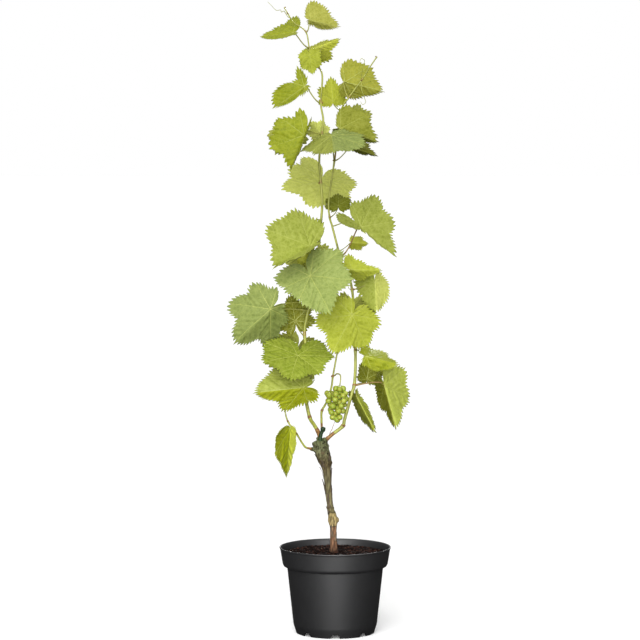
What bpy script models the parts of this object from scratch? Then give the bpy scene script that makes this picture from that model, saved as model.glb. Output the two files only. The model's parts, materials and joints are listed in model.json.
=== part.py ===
"""A young grafted grapevine in a nursery pot.

A knobbly grafted trunk stands in a filled pot.  Four green shoots climb from its head, and each
lobed leaf hangs from its shoot on a petiole of its own.  One unripe bunch hangs from the middle
shoot.  Metres, +Z up, origin at the middle of the pot's flat underside; front is -Y.
"""

from collections import namedtuple
from math import cos, pi, radians, sin

import bmesh
import bpy
import numpy as np
from mathutils import Vector

MM = 0.001
GAP = 0.3                      # mm, left between pieces that touch
MERGE = 0.00002                # m, welds caps and the points on a turned shape's axis
SMOOTH_ANGLE = 40.0            # edges sharper than this stay sharp

# Pot: a 3-litre injection-moulded container, 190 mm across its rim.
POT_HEIGHT = 147.0
POT_RIM_RADIUS = 95.0
POT_LIP_HEIGHT = 30.0
POT_LIP_RADIUS = 89.4          # outside, at the lip's lower edge
POT_SHOULDER_RADIUS = 81.8     # outside, just under the lip
POT_HEEL_RADIUS = 71.2         # outside, where the wall turns in to the foot
POT_HEEL_HEIGHT = 15.0
POT_FOOT_RADIUS = 66.5
POT_WALL = 1.7
POT_LIP_ROUND = 2.0            # across the rim's rounded edge and the lip's lower corner
POT_FLOOR = 6.4                # underside of the raised floor
POT_FOOT_WIDTH = 2.8           # of the ring the pot stands on
POT_FOOT_DRAFT = 5.0           # the floor meets the wall this far inside the foot
POT_BOSS_RADIUS = 20.0         # middle of the floor, which stands on the ground
POT_SIDES = 32
NOTCHES = 8
NOTCH_WIDTH = 17.0
NOTCH_HEIGHT = 6.0
NOTCH_DEPTH = 12.0

SOIL_TOP = 137.0
SOIL_CLEAR = 0.5               # between peat and wall
SOIL_SIDES = 32

# Trunk: x, y, z of its middle and its radius, from the soil to the head (mm).
TRUNK_LINE = (
    (-2.5, 0.0, SOIL_TOP + GAP, 8.2),
    (-2.6, 0.0, SOIL_TOP + 5.0, 6.9),
    (-2.8, 0.0, 156.0, 5.8),
    (-3.2, 0.0, 180.0, 5.9),
    (-3.8, 0.0, 190.0, 8.2),
    (-5.6, 0.0, 202.0, 7.0),
    (-9.2, 0.0, 218.0, 5.3),
    (-12.0, 0.0, 244.0, 5.5),
    (-13.6, 0.5, 268.0, 6.5),
    (-15.6, 0.5, 284.0, 8.0),
    (-17.4, 0.0, 294.0, 11.6),
    (-21.3, 0.0, 307.0, 12.0),
    (-23.5, 0.0, 317.0, 11.4),
    (-25.6, -3.4, 323.5, 7.2),
    (-25.7, -3.8, 327.9, 4.6),
)
TRUNK_SIDES = 12
KNOB_SIDES = 8
KNOB_RINGS = 6
# Swellings fused on the trunk: x, y, z and radius.
TRUNK_KNOBS = (
    (0.4, -0.5, 192.5, 6.4),       # lip of the graft union
    (-32.8, -5.0, 322.4, 6.2),     # old spur, rounded over
    (-9.6, 1.0, 290.0, 4.6),
    (-17.0, 5.0, 320.0, 6.4),
    (-26.5, 6.0, 306.0, 7.5),
    (-31.0, -1.0, 312.5, 6.2),
    (-20.0, -8.0, 297.0, 5.6),
    (-17.9, 2.0, 327.6, 5.4),      # these four carry the shoots
    (-26.8, 6.4, 329.6, 5.6),
    (-37.7, -0.3, 313.3, 4.5),
    (-22.5, 3.0, 323.0, 5.0),
)
STUB_SIDES = 8
STUB_LINE = (
    (-25.7, -3.9, 328.9, 3.6),
    (-25.6, -4.0, 333.2, 3.4),
    (-24.4, -4.0, 339.0, 3.3),
    (-22.4, -4.0, 344.0, 3.2),
    (-21.0, -4.0, 347.5, 4.2),
    (-20.4, -4.0, 351.0, 3.8),
)

# Shoots: x, y, z and how far the shoot swells there, for a node or a bend (mm).
Shoot = namedtuple("Shoot", "base tip line")
SHOOTS = {
    "shoot_tall": Shoot(3.4, 0.8, (
        (-27.2, 5.6, 336.2, 1.15),
        (-30.0, 4.8, 344.5, 1.2),
        (-36.0, 2.0, 355.0, 1.0),
        (-43.3, -2.0, 368.0, 1.25),
        (-49.8, -5.0, 398.0, 0.95),
        (-52.4, -7.0, 418.0, 1.0),
        (-43.0, -9.0, 431.0, 1.3),
        (-42.6, -10.0, 457.0, 1.0),
        (-52.0, -12.0, 508.0, 1.2),
        (-46.0, -13.0, 550.0, 0.95),
        (-40.8, -13.0, 562.0, 1.3),
        (-30.0, -14.0, 640.0, 0.95),
        (-25.6, -14.0, 686.0, 1.25),
        (-22.2, -13.0, 730.0, 0.95),
        (-24.3, -12.0, 765.0, 1.25),
        (-27.2, -12.0, 804.0, 0.95),
        (-22.6, -11.0, 848.0, 1.25),
        (-20.4, -10.0, 872.0, 0.95),
        (-24.4, -9.0, 900.0, 1.35),
        (-22.0, -9.0, 945.0, 0.95),
        (-28.6, -8.0, 962.0, 1.3),
        (-35.0, -8.0, 979.0, 1.0),
        (-43.4, -7.0, 991.0, 1.4),
        (-49.6, -6.0, 1019.5, 1.4),
        (-69.2, -6.0, 1034.5, 1.1),
        (-80.0, -6.0, 1050.0, 1.5),
        (-85.8, -6.0, 1060.0, 1.7),
    )),
    "shoot_right": Shoot(3.2, 1.0, (
        (-13.4, 2.0, 331.5, 1.2),
        (-4.2, 2.0, 339.4, 0.95),
        (12.4, 3.0, 352.5, 1.35),
        (16.4, 5.0, 366.0, 0.95),
        (28.0, 10.0, 407.0, 0.95),
        (32.2, 12.0, 421.0, 1.3),
        (34.2, 14.0, 446.0, 0.95),
        (34.4, 15.0, 481.0, 1.3),
        (33.6, 15.0, 520.0, 0.95),
        (31.6, 14.0, 554.0, 1.3),
        (28.6, 14.0, 584.0, 1.35),
        (23.0, 14.0, 608.0, 0.95),
        (9.8, 15.0, 631.0, 1.35),
        (5.6, 16.0, 650.0, 1.0),
        (-5.2, 17.0, 692.0, 0.95),
        (-9.4, 17.0, 707.0, 1.35),
        (-11.0, 17.0, 735.0, 0.95),
        (-1.4, 15.0, 803.0, 1.3),
        (10.2, 12.0, 886.0, 1.0),
        (22.8, 9.0, 909.5, 1.35),
        (43.6, 8.0, 938.0, 1.4),
        (58.4, 7.0, 961.0, 1.1),
        (70.0, 6.0, 978.0, 1.5),
    )),
    "shoot_middle": Shoot(2.1, 1.2, (
        (-22.6, 4.4, 345.0, 1.2),
        (-23.0, 4.8, 353.0, 1.1),
        (-23.4, 2.0, 364.0, 1.0),
        (-22.6, -2.0, 379.5, 1.4),
        (-13.4, -5.0, 397.0, 0.95),
        (-6.4, -8.0, 421.0, 0.95),
        (-4.2, -9.0, 438.0, 1.4),
        (0.0, -9.0, 461.0, 0.95),
        (3.6, -9.0, 481.0, 0.95),
        (8.0, -8.0, 512.0, 1.3),
        (4.0, -7.0, 545.0, 1.4),
    )),
    "shoot_low": Shoot(2.0, 1.0, (
        (-42.0, -2.0, 315.0, 1.2),
        (-52.0, -6.0, 319.0, 0.95),
        (-65.8, -12.0, 341.5, 1.4),
        (-80.0, -14.0, 362.0, 1.35),
        (-85.2, -13.0, 381.0, 1.0),
        (-86.0, -8.0, 402.0, 1.4),
    )),
}
SHOOT_SIDES = 6
LIMB_STEPS = (0.5,)            # where a limb is rounded between two of its points

# Tendrils: the shoot each is fused to and the points it passes through (mm).
TENDRIL_RADIUS = 0.6
TENDRIL_SIDES = 4
TENDRILS = (
    ("shoot_tall", ((-74.0, -6.0, 1041.6), (-80.0, -8.0, 1045.0), (-86.0, -12.0, 1053.5),
                    (-90.5, -16.0, 1052.0), (-92.0, -17.0, 1055.5), (-99.5, -19.0, 1055.0),
                    (-107.0, -20.0, 1062.5), (-113.5, -20.0, 1069.0))),
    ("shoot_tall", ((-30.4, -8.0, 967.0), (-27.0, -6.0, 982.0), (-21.5, -4.0, 995.0),
                    (-18.8, -3.0, 1007.0))),
    ("shoot_right", ((43.6, 8.0, 938.0), (45.4, -3.0, 957.0), (49.0, -7.0, 971.0),
                     (43.5, -9.0, 974.5), (41.0, -9.0, 969.5))),
    ("shoot_right", ((43.6, 8.0, 938.0), (44.5, -2.0, 922.0), (48.0, -4.0, 911.0),
                     (51.0, -5.0, 902.0), (46.0, -6.0, 897.5), (42.5, -5.0, 902.5))),
    ("shoot_right", ((28.6, 14.0, 584.0), (24.0, 8.0, 586.0), (21.0, 4.0, 592.0))),
    ("shoot_right", ((-10.5, 2.0, 334.0), (-8.5, -2.0, 342.5), (-5.5, -4.0, 348.5),
                     (-3.0, -5.0, 355.5), (-0.5, -6.0, 362.0))),
)

# Bunch of grapes: x, z, ring radius and number of berries, from the top ring down (mm).
BUNCH_Y = -32.0
BUNCH_RINGS = (
    (7.0, 418.0, 7.0, 3),
    (1.5, 410.5, 15.5, 7),
    (3.0, 401.0, 15.5, 6),
    (3.0, 391.5, 12.0, 5),
    (1.5, 382.0, 11.0, 5),
    (1.5, 373.5, 7.0, 3),
    (3.0, 366.5, 0.5, 1),
)
BERRY_RADIUS = 5.3
BERRY_SIDES = 7
BERRY_STEPS = 4
BUNCH_CORE = 0.80              # of the ring radius, filled between the berries
BUNCH_CORE_LEAST = 2.0
BUNCH_CORE_SIDES = 8
BUNCH_TURN = 0.41              # radians from one ring to the next
BUNCH_STAGGER = 1.6            # berries of a ring hang this much above or below it
PEDUNCLE_RADIUS = 1.1
PEDUNCLE_SIDES = 6
PEDUNCLE = ((-1.2, -12.6, 440.0), (3.0, -19.0, 444.0), (8.5, -26.0, 442.0), (8.5, -31.0, 432.0),
            (7.0, BUNCH_Y, 424.0), (5.5, BUNCH_Y, 408.0), (3.0, BUNCH_Y, 390.0))

# Leaf blade in polar form about its junction, for a midrib of length 1: degrees from the midrib,
# reach of the margin, and how far the reach drops there on a lobed leaf.  The main veins run to
# lobe tips at 0, 52, 105 and 150 degrees.
MARGIN = (
    (0, 1.00, 0.00), (14, 0.92, 0.06), (27, 0.86, 0.15), (40, 0.87, 0.05), (52, 0.88, 0.00),
    (66, 0.81, 0.05), (78, 0.77, 0.13), (91, 0.76, 0.04), (105, 0.75, 0.00), (128, 0.65, 0.09),
    (150, 0.56, 0.00), (170, 0.38, 0.04), (180, 0.10, 0.00),
)
GROWTH_ANGLES = (-150, -128, -105, -78, -52, -26, 0, 26, 52, 78, 105, 128, 150)
BASE_FROM = 90                 # degrees past which the blade's base may be fuller or narrower
BASE_ALL = 140
RING = 0.55                    # the blade bends at this share of its reach
BLADE_THICKNESS = 0.016        # of the midrib's length
BLADE_LEAST = 0.7              # mm
RIPPLES = 5                    # waves round the margin
RIPPLE_DEPTH = 0.045           # of the midrib's length
RIPPLE_SHIFT = 2.4             # radians from one leaf to the next
PETIOLE_RADIUS = 1.15          # mm, on a full-grown leaf
PETIOLE_YOUNG = 0.45           # of that radius on the smallest leaf, and
PETIOLE_GROWTH = 120.0         # a midrib this much longer (mm) adds a whole radius
PETIOLE_SIDES = 4
PETIOLE_STEPS = 3
# Ways to join a petiole to its blade, tried in turn: the solver and how far aside it is let in (mm).
JOINS = (("EXACT", 0.3), ("EXACT", -0.3), ("MANIFOLD", 0.3), ("EXACT", 0.6), ("MANIFOLD", -0.5))
PETIOLE_CLEAR = 1.35           # its foot's distance from the shoot's middle, of the shoot's radius
PETIOLE_RISE = 0.2             # how steeply it leaves the shoot
PETIOLE_BOW = 0.35             # of the way to the blade
PETIOLE_ALONG = 0.45           # of the bow, the way it comes in along the midrib
PETIOLE_BEHIND = 0.55          # of the bow, and from behind the blade
PETIOLE_LET_IN = 0.14          # of the midrib's length, let into the blade

# Leaves.  foot: height on the shoot where the petiole springs (mm).  junction: where it meets the
# blade (mm).  length: of the midrib (mm).  heading: the way the midrib points seen from the front,
# clockwise from up.  lean: how far its tip comes forward.  halves: how far the half on the
# anticlockwise and on the clockwise side of the midrib comes forward (degrees).  dome: how far the
# margin falls away behind the face.  face: 1 where the upper face looks forward, -1 where it looks
# back.  lobing: depth of the sinuses.  base: fullness of the lobes beside the petiole.  grown: how
# far its margin has grown out at angles clockwise from the midrib, where it isn't as in MARGIN.
Leaf = namedtuple("Leaf", "shoot foot junction length heading lean halves tint "
                          "face lobing base dome grown",
                  defaults=(1, 0.8, 1.0, 0.10, {}))
LEAVES = {
    "leaf_tall_01": Leaf("shoot_tall", 1019, (-42, -4, 1039), 49, 102, 0, (-36, -40), "bright", 1, 0.4,
                         0.5,
        grown={-150: 0.9, -105: 1.15, -78: 1.12, -52: 0.86, -26: 0.93, 26: 0.72, 52: 0.28,
               78: 0.28, 105: 0.3, 128: 0.3, 150: 0.45}),
    "leaf_tall_02": Leaf("shoot_tall", 992, (-71, -20, 1018), 53, 262, 5, (72, -62), "bright", 1, 0.8, 0.9,
        grown={-150: 0.3, -128: 0.3, -105: 0.4, -78: 0.55, -52: 0.76, -26: 1.3, 26: 0.95,
               52: 0.75, 78: 1.05, 105: 1.6, 128: 0.75, 150: 0.3}),
    "leaf_tall_03": Leaf("shoot_tall", 968, (-41, 14, 989), 52, 68, 0, (-78, -40), "bright",
        grown={-150: 0.55, -128: 0.6, -105: 0.8, 26: 0.9, 52: 0.92, 78: 0.9}),
    "leaf_tall_04": Leaf("shoot_tall", 958, (-43, -20, 977), 29, 170, 0, (30, 30), "bright", 1, 0.5),
    "leaf_tall_05": Leaf("shoot_tall", 900, (-52, -16, 928), 62, 235, 0, (-10, -15), "bright", 1, 0.5,
        grown={-150: 0.25, -128: 0.2, -105: 0.2, -78: 0.2, -52: 0.22, -26: 0.35, 26: 1.08,
               52: 0.42, 78: 0.39, 105: 0.76, 128: 0.51, 150: 0.3}),
    "leaf_tall_06": Leaf("shoot_tall", 848, (-52, -26, 846), 65, 201, 8, (86, -5), "bright", 1, 0.8, 0.9,
        grown={0: 0.93, 52: 1.05, 78: 1.2, 105: 1.05, 150: 1.4}),
    "leaf_tall_07": Leaf("shoot_tall", 848, (-26, 10, 850), 25, 320, 0, (-10, -10), "under", -1),
    "leaf_tall_08": Leaf("shoot_tall", 804, (-24, 84, 767), 80, 197, 54, (8, 0), "mature", 1, 0.8, 1.25,
        grown={-105: 0.95, 0: 0.85, 52: 1.07, 105: 0.92, 150: 1.4}),
    "leaf_tall_09": Leaf("shoot_tall", 686, (-42, -48, 660), 84, 240, 28, (84, 0), "mature",
        grown={-150: 0.3, -128: 0.35, -105: 0.45, -78: 0.7, 0: 0.9, 26: 1.1, 52: 1.06,
               78: 1.2, 128: 1.03, 150: 1.05}),
    "leaf_tall_10": Leaf("shoot_tall", 640, (-42, -76, 612), 84, 151, 42, (4, -8), "mature", 1, 0.6, 0.9,
        grown={-150: 1.25, -128: 1.2, -105: 1.1, 26: 0.9, 52: 0.6, 78: 0.75, 105: 0.8,
               128: 1.5, 150: 1.3}),
    "leaf_tall_11": Leaf("shoot_tall", 562, (-109, -45, 555), 82, 226, 0, (-34, -20), "mature", 1, 1.4,
                         0.8,
        grown={-150: 0.7, -128: 0.65, -105: 0.65, -78: 0.85, -26: 1.08, 26: 1.15, 105: 0.87}),
    "leaf_tall_12": Leaf("shoot_tall", 508, (-68, 6, 532), 46, 350, 0, (-10, -5), "under", -1, 1.2),
    "leaf_tall_13": Leaf("shoot_tall", 457, (-63, -64, 478), 74, 196, 59, (10, 0), "mature", 1, 0.8, 1.3,
        grown={-150: 1.25, -128: 1.1, -52: 0.85, 0: 0.85, 78: 1.15}),
    "leaf_tall_14": Leaf("shoot_tall", 431, (-54, -66, 425), 80, 264, 10, (-30, -40), "bright",
        grown={-150: 0.65, -128: 0.8, -105: 0.5, -78: 0.66, -52: 0.76, -26: 0.82, 26: 1.1,
               52: 0.78, 78: 0.7, 105: 0.6, 128: 0.5, 150: 0.5}),
    "leaf_tall_15": Leaf("shoot_tall", 550, (-122, -10, 541), 42, 182, 0, (-10, -10), "bright"),
    "leaf_tall_16": Leaf("shoot_tall", 665, (-50, 8, 650), 26, 205, 0, (-10, -10), "bright"),
    "leaf_right_01": Leaf("shoot_right", 909, (16, 24, 936), 66, 104, 0, (-38, -30), "under", -1, 0.2,
                         0.15,
        grown={-105: 1.1, -78: 1.05, 26: 0.76, 52: 0.6, 78: 0.58, 105: 0.55, 128: 0.6,
               150: 0.7}),
    "leaf_right_02": Leaf("shoot_right", 886, (-4, 68, 905), 40, 355, 0, (-35, -35), "bright", 1, 0.8, 0.5),
    "leaf_right_03": Leaf("shoot_right", 886, (8, -36, 857), 66, 109, 0, (-34, -75), "mature", 1, 0.5, 0.3,
        grown={-105: 1.05, 52: 0.95, 78: 0.86, 105: 0.86, 128: 0.9, 150: 0.5}),
    "leaf_right_04": Leaf("shoot_right", 803, (-7, -72, 845), 74, 172, 71, (-6, -18), "mature", 1, 0.8, 0.6,
        grown={-150: 1.6, -128: 1.2, -26: 1.2, 52: 0.7, 105: 1.2, 128: 1.1}),
    "leaf_right_05": Leaf("shoot_right", 707, (5, 30, 727), 30, 0, -45, (0, 0), "shade"),
    "leaf_right_06": Leaf("shoot_right", 640, (43, -10, 692), 78, 131, 0, (-26, 66), "mature",
        grown={-105: 1.08, -78: 1.0, -52: 0.87, -26: 0.93, 0: 0.97, 26: 0.25, 52: 0.2,
               78: 0.25, 105: 0.4, 128: 1.3, 150: 1.2}),
    "leaf_right_07": Leaf("shoot_right", 650, (30, 28, 664), 26, 95, 0, (-55, -48), "shade", 1, 0.8, 0.5),
    "leaf_right_08": Leaf("shoot_right", 608, (28, -22, 620), 50, 92, 0, (-52, -40), "lime", 1, 0.8, 0.7,
        grown={-105: 1.15, -78: 0.8, -52: 0.6, -26: 0.75, 26: 0.8, 52: 0.65, 78: 0.65,
               105: 0.75}),
    "leaf_right_09": Leaf("shoot_right", 584, (67, 6, 597), 50, 178, 15, (-36, -26), "mature", 1, 0.5,
        grown={-150: 0.8, -128: 0.7, -105: 0.68, -78: 0.85, -52: 0.78, 52: 0.72}),
    "leaf_right_10": Leaf("shoot_right", 554, (28, -34, 545), 73, 207, 0, (-20, -16), "lime", 1, 0.7, 0.7),
    "leaf_right_11": Leaf("shoot_right", 481, (52, -50, 476), 55, 105, 0, (-72, -10), "lime", 1, 0.8, 0.5,
        grown={26: 0.88, 52: 0.5, 78: 0.42, 105: 0.42, 128: 0.38, 150: 0.4}),
    "leaf_right_12": Leaf("shoot_right", 421, (83, -8, 424), 76, 165, 0, (-44, -70), "mature", 1, 0.8, 0.9,
        grown={-150: 0.85, -52: 0.88, 26: 0.95, 52: 0.9, 78: 0.9, 105: 0.6, 128: 0.6,
               150: 0.75}),
    "leaf_right_13": Leaf("shoot_right", 421, (55, 60, 428), 38, 10, 0, (-50, -10), "under", -1, 0.8, 0.5),
    "leaf_right_14": Leaf("shoot_right", 407, (37, 30, 400), 67, 152, 0, (-70, -76), "shade", 1, 0.8, 0.3,
        grown={-105: 0.3, -78: 0.35, -52: 0.4, -26: 0.8, 26: 1.25, 52: 1.15}),
    "leaf_right_15": Leaf("shoot_right", 803, (28, 24, 826), 44, 109, 0, (-60, -80), "shade", 1, 0.8, 0.5),
    "leaf_low_01": Leaf("shoot_low", 352, (-77, -22, 350), 83, 184, 0, (62, 64), "bright", 1, 0.2, 0.3,
        grown={-150: 0.4, -128: 0.4, -105: 0.4, -78: 0.42, -52: 0.47, -26: 0.66, 26: 0.92,
               52: 0.87, 78: 0.89, 105: 0.45, 128: 0.4, 150: 0.4}),
    "leaf_back_01": Leaf("shoot_right", 631, (-38, 62, 629), 68, 184, 10, (-15, -15), "mature", -1),
    "leaf_back_02": Leaf("shoot_right", 520, (26, 62, 546), 60, 190, 10, (-15, -15), "mature", -1),
    "leaf_back_03": Leaf("shoot_tall", 457, (-66, 44, 478), 64, 200, 10, (-15, -15), "mature", -1),
    "leaf_back_04": Leaf("shoot_tall", 703, (-60, 32, 680), 48, 235, 10, (-15, -15), "mature", -1),
    "leaf_back_05": Leaf("shoot_right", 692, (55, 38, 713), 32, 110, 10, (-15, -15), "bright", -1),
    "leaf_back_06": Leaf("shoot_right", 886, (30, 44, 873), 38, 120, 10, (-15, -15), "bright", -1),
    "leaf_back_07": Leaf("shoot_tall", 848, (-76, 18, 850), 44, 215, 10, (-15, -15), "bright", -1),
}


def point(values):
    """A place given in millimetres, in metres."""
    return Vector(values[:3]) * MM


def material(name, colour, roughness, metallic=0.0):
    """The named finish, made the first time it is asked for."""
    found = bpy.data.materials.get(name)
    if found:
        return found
    finish = bpy.data.materials.new(name)
    finish.use_nodes = True
    shader = finish.node_tree.nodes["Principled BSDF"]
    shader.inputs["Base Color"].default_value = (*colour, 1.0)
    shader.inputs["Roughness"].default_value = roughness
    shader.inputs["Metallic"].default_value = metallic
    return finish


def place(name, mesh, collection):
    """An object of the mesh, in the collection."""
    shape = bpy.data.objects.new(name, mesh)
    collection.objects.link(shape)
    return shape


def turned(name, profile, sides, collection):
    """A profile of (radius, height) in mm, turned about Z."""
    mesh = bpy.data.meshes.new(name)
    corners = [(radius * MM, 0.0, height * MM) for radius, height in profile]
    mesh.from_pydata(corners, [(i, i + 1) for i in range(len(corners) - 1)], [])
    shape = place(name, mesh, collection)
    screw = shape.modifiers.new("turn", "SCREW")
    screw.steps = sides
    screw.render_steps = sides
    screw.use_merge_vertices = True
    screw.merge_threshold = MERGE
    return shape


def as_mesh(shape, collection, name=None):
    """Replace an object by the mesh it evaluates to, with its loose caps welded on."""
    evaluated = shape.evaluated_get(bpy.context.evaluated_depsgraph_get())
    mesh = bpy.data.meshes.new_from_object(evaluated)
    solid = bmesh.new()
    solid.from_mesh(mesh)
    bmesh.ops.remove_doubles(solid, verts=solid.verts, dist=MERGE)
    solid.to_mesh(mesh)
    solid.free()
    name = name or shape.name
    matrix = shape.matrix_world.copy()
    bpy.data.objects.remove(shape)
    made = place(name, mesh, collection)
    made.matrix_world = matrix
    return made


def tube(name, line, radii, sides, collection):
    """A round limb along a line of points in metres, with a radius in mm at each of them."""
    curve = bpy.data.curves.new(name, "CURVE")
    curve.dimensions = "3D"
    curve.bevel_depth = MM
    curve.bevel_resolution = sides // 2 - 2
    curve.use_fill_caps = True
    spline = curve.splines.new("POLY")
    spline.points.add(len(line) - 1)
    for spot, place_at, radius in zip(spline.points, line, radii):
        spot.co = (*place_at, 1.0)
        spot.radius = radius
    shape = place(name, curve, collection)
    return as_mesh(shape, collection)


def fuse(body, others, collection, solver="EXACT"):
    """Join the other meshes to body with one Boolean union, and remove them."""
    joined = bpy.data.collections.new(body.name + "_joined")
    bpy.context.scene.collection.children.link(joined)
    for other in others:
        collection.objects.unlink(other)
        joined.objects.link(other)
    union = body.modifiers.new("union", "BOOLEAN")
    union.operation = "UNION"
    union.operand_type = "COLLECTION"
    union.collection = joined
    union.solver = solver
    made = as_mesh(body, collection)
    for other in others:
        bpy.data.objects.remove(other)
    bpy.data.collections.remove(joined)
    return made


def closed(mesh):
    """Whether a mesh has faces and every edge lies between two of them."""
    check = bmesh.new()
    check.from_mesh(mesh)
    bmesh.ops.triangulate(check, faces=check.faces)
    good = len(check.faces) > 0 and all(len(edge.link_faces) == 2 for edge in check.edges)
    check.free()
    return good


def catmull(before, start, end, after, share):
    """A point on the smooth curve from start to end."""
    square = share * share
    cube = square * share
    return 0.5 * (2.0 * start + (end - before) * share
                  + (2.0 * before - 5.0 * start + 4.0 * end - after) * square
                  + (3.0 * start - before - 3.0 * end + after) * cube)


def smooth_line(rows, steps):
    """Rows of numbers, with more put between them at the given shares on a smooth curve."""
    rows = [np.array(row, dtype=float) for row in rows]
    padded = [2.0 * rows[0] - rows[1], *rows, 2.0 * rows[-1] - rows[-2]]
    out = []
    for before, start, end, after in zip(padded, padded[1:], padded[2:], padded[3:]):
        out.append(start)
        out.extend(catmull(before, start, end, after, share) for share in steps)
    out.append(rows[-1])
    return np.array(out)


def make_pot(parts, cutters):
    """Thin moulded wall with a lip band, and a raised floor with a middle boss and notched foot."""
    wall = POT_WALL
    lip_foot = POT_HEIGHT - POT_LIP_HEIGHT
    profile = (
        (0.0, wall),
        (POT_BOSS_RADIUS - wall, wall),
        (POT_BOSS_RADIUS + wall, POT_FLOOR + wall),
        (POT_FOOT_RADIUS - POT_FOOT_DRAFT, POT_FLOOR + wall),
        (POT_HEEL_RADIUS - wall, POT_HEEL_HEIGHT + 1.0),
        (POT_SHOULDER_RADIUS - wall, lip_foot - 2.0),
        (POT_LIP_RADIUS - wall - 1.6, lip_foot + 0.6),
        (POT_LIP_RADIUS - wall, lip_foot + 3.0),
        (POT_RIM_RADIUS - wall - 1.4, POT_HEIGHT - 2.0),
        (POT_RIM_RADIUS - POT_LIP_ROUND, POT_HEIGHT),
        (POT_RIM_RADIUS - 0.4, POT_HEIGHT - 0.5),
        (POT_RIM_RADIUS, POT_HEIGHT - 1.8),
        (POT_RIM_RADIUS - 1.3, POT_HEIGHT - 3.4),
        (POT_LIP_RADIUS, lip_foot),
        (POT_LIP_RADIUS - POT_LIP_ROUND, lip_foot - 2.6),
        (POT_SHOULDER_RADIUS, lip_foot - 4.6),
        (POT_HEEL_RADIUS, POT_HEEL_HEIGHT),
        (POT_FOOT_RADIUS + 1.2, 3.2),
        (POT_FOOT_RADIUS, 0.0),
        (POT_FOOT_RADIUS - POT_FOOT_WIDTH + 0.8, 0.0),
        (POT_FOOT_RADIUS - POT_FOOT_WIDTH, POT_FLOOR),
        (POT_BOSS_RADIUS + 3.0, POT_FLOOR),
        (POT_BOSS_RADIUS, 0.0),
        (0.0, 0.0),
    )
    pot = turned("pot", profile, POT_SIDES, parts)
    notch = bmesh.new()
    bmesh.ops.create_cube(notch, size=1.0)
    size = (NOTCH_DEPTH * MM, NOTCH_WIDTH * MM, 2.0 * NOTCH_HEIGHT * MM)
    bmesh.ops.scale(notch, vec=size, verts=notch.verts)
    mesh = bpy.data.meshes.new("notch")
    notch.to_mesh(mesh)
    notch.free()
    for turn in range(NOTCHES):
        angle = 2.0 * pi * (turn / NOTCHES + 0.25)
        cutter = place(f"notch_{turn}", mesh, cutters)
        cutter.location = (POT_FOOT_RADIUS * MM * cos(angle), POT_FOOT_RADIUS * MM * sin(angle), 0.0)
        cutter.rotation_euler[2] = angle
        cutter.hide_render = True
        cutter.display_type = "WIRE"
    cut = pot.modifiers.new("notches", "BOOLEAN")
    cut.operation = "DIFFERENCE"
    cut.operand_type = "COLLECTION"
    cut.collection = cutters
    return pot


def make_soil(parts):
    """Peat that fills the pot to a finger's width below its rim."""
    lip_foot = POT_HEIGHT - POT_LIP_HEIGHT
    clear = POT_WALL + SOIL_CLEAR
    slope = (POT_RIM_RADIUS - 1.4 - POT_LIP_RADIUS) / (POT_LIP_HEIGHT - 5.0)
    profile = (
        (0.0, SOIL_TOP),
        (POT_LIP_RADIUS - clear - GAP + slope * (SOIL_TOP - lip_foot - 3.0), SOIL_TOP),
        (POT_LIP_RADIUS - clear, lip_foot + 3.4),
        (POT_LIP_RADIUS - clear - 1.6, lip_foot + 1.2),
        (POT_SHOULDER_RADIUS - clear, lip_foot - 1.2),
        (POT_HEEL_RADIUS - clear, POT_HEEL_HEIGHT + 1.6),
        (POT_FOOT_RADIUS - POT_FOOT_DRAFT - 0.4, POT_FLOOR + POT_WALL + GAP),
        (0.0, POT_FLOOR + POT_WALL + GAP),
    )
    return turned("soil", profile, SOIL_SIDES, parts)


def ball(name, middle, radius, sides, rings, collection):
    """A round lump, in metres."""
    mesh = bpy.data.meshes.new(name)
    lump = bmesh.new()
    bmesh.ops.create_uvsphere(lump, u_segments=sides, v_segments=rings, radius=radius)
    lump.to_mesh(mesh)
    lump.free()
    shape = place(name, mesh, collection)
    shape.location = middle
    bpy.context.view_layer.update()
    return shape


def limb(name, rows, sides, collection):
    """A limb through rows of x, y, z and radius in mm, rounded between them."""
    line = smooth_line(rows, LIMB_STEPS)
    return tube(name, [point(row) for row in line], line[:, 3], sides, collection)


def make_trunk(parts):
    """Rootstock, graft union and scion head, flared where it leaves the soil."""
    trunk = limb("trunk", TRUNK_LINE, TRUNK_SIDES, parts)
    knobs = [ball("knob", point(row), row[3] * MM, KNOB_SIDES, KNOB_RINGS, parts)
             for row in TRUNK_KNOBS]
    return fuse(trunk, knobs, parts)


def shoot_line(shoot):
    """The shoot's line in metres and its radius in mm at each point, swollen at its nodes."""
    line = smooth_line(shoot.line, LIMB_STEPS)
    every = len(LIMB_STEPS) + 1
    radii = []
    for i in range(len(line)):
        swell = line[i][3] if i % every == 0 else 1.0
        radii.append(swell * (shoot.base + (shoot.tip - shoot.base) * i / (len(line) - 1)))
    return [point(row) for row in line], radii


def make_shoots(parts):
    """The green shoots, each with its tendrils fused on."""
    for name, shoot in SHOOTS.items():
        line, radii = shoot_line(shoot)
        made = tube(name, line, radii, SHOOT_SIDES, parts)
        tendrils = []
        for carrier, route in TENDRILS:
            if carrier == name:
                run = [point(row) for row in smooth_line(route, LIMB_STEPS)]
                tendril = tube("tendril", run, [TENDRIL_RADIUS] * len(run), TENDRIL_SIDES, parts)
                tendrils.append(tendril)
        if tendrils:
            made = fuse(made, tendrils, parts)
        made.data.materials.append(material("shoot_green", (0.36, 0.35, 0.06), 0.5))


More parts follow.
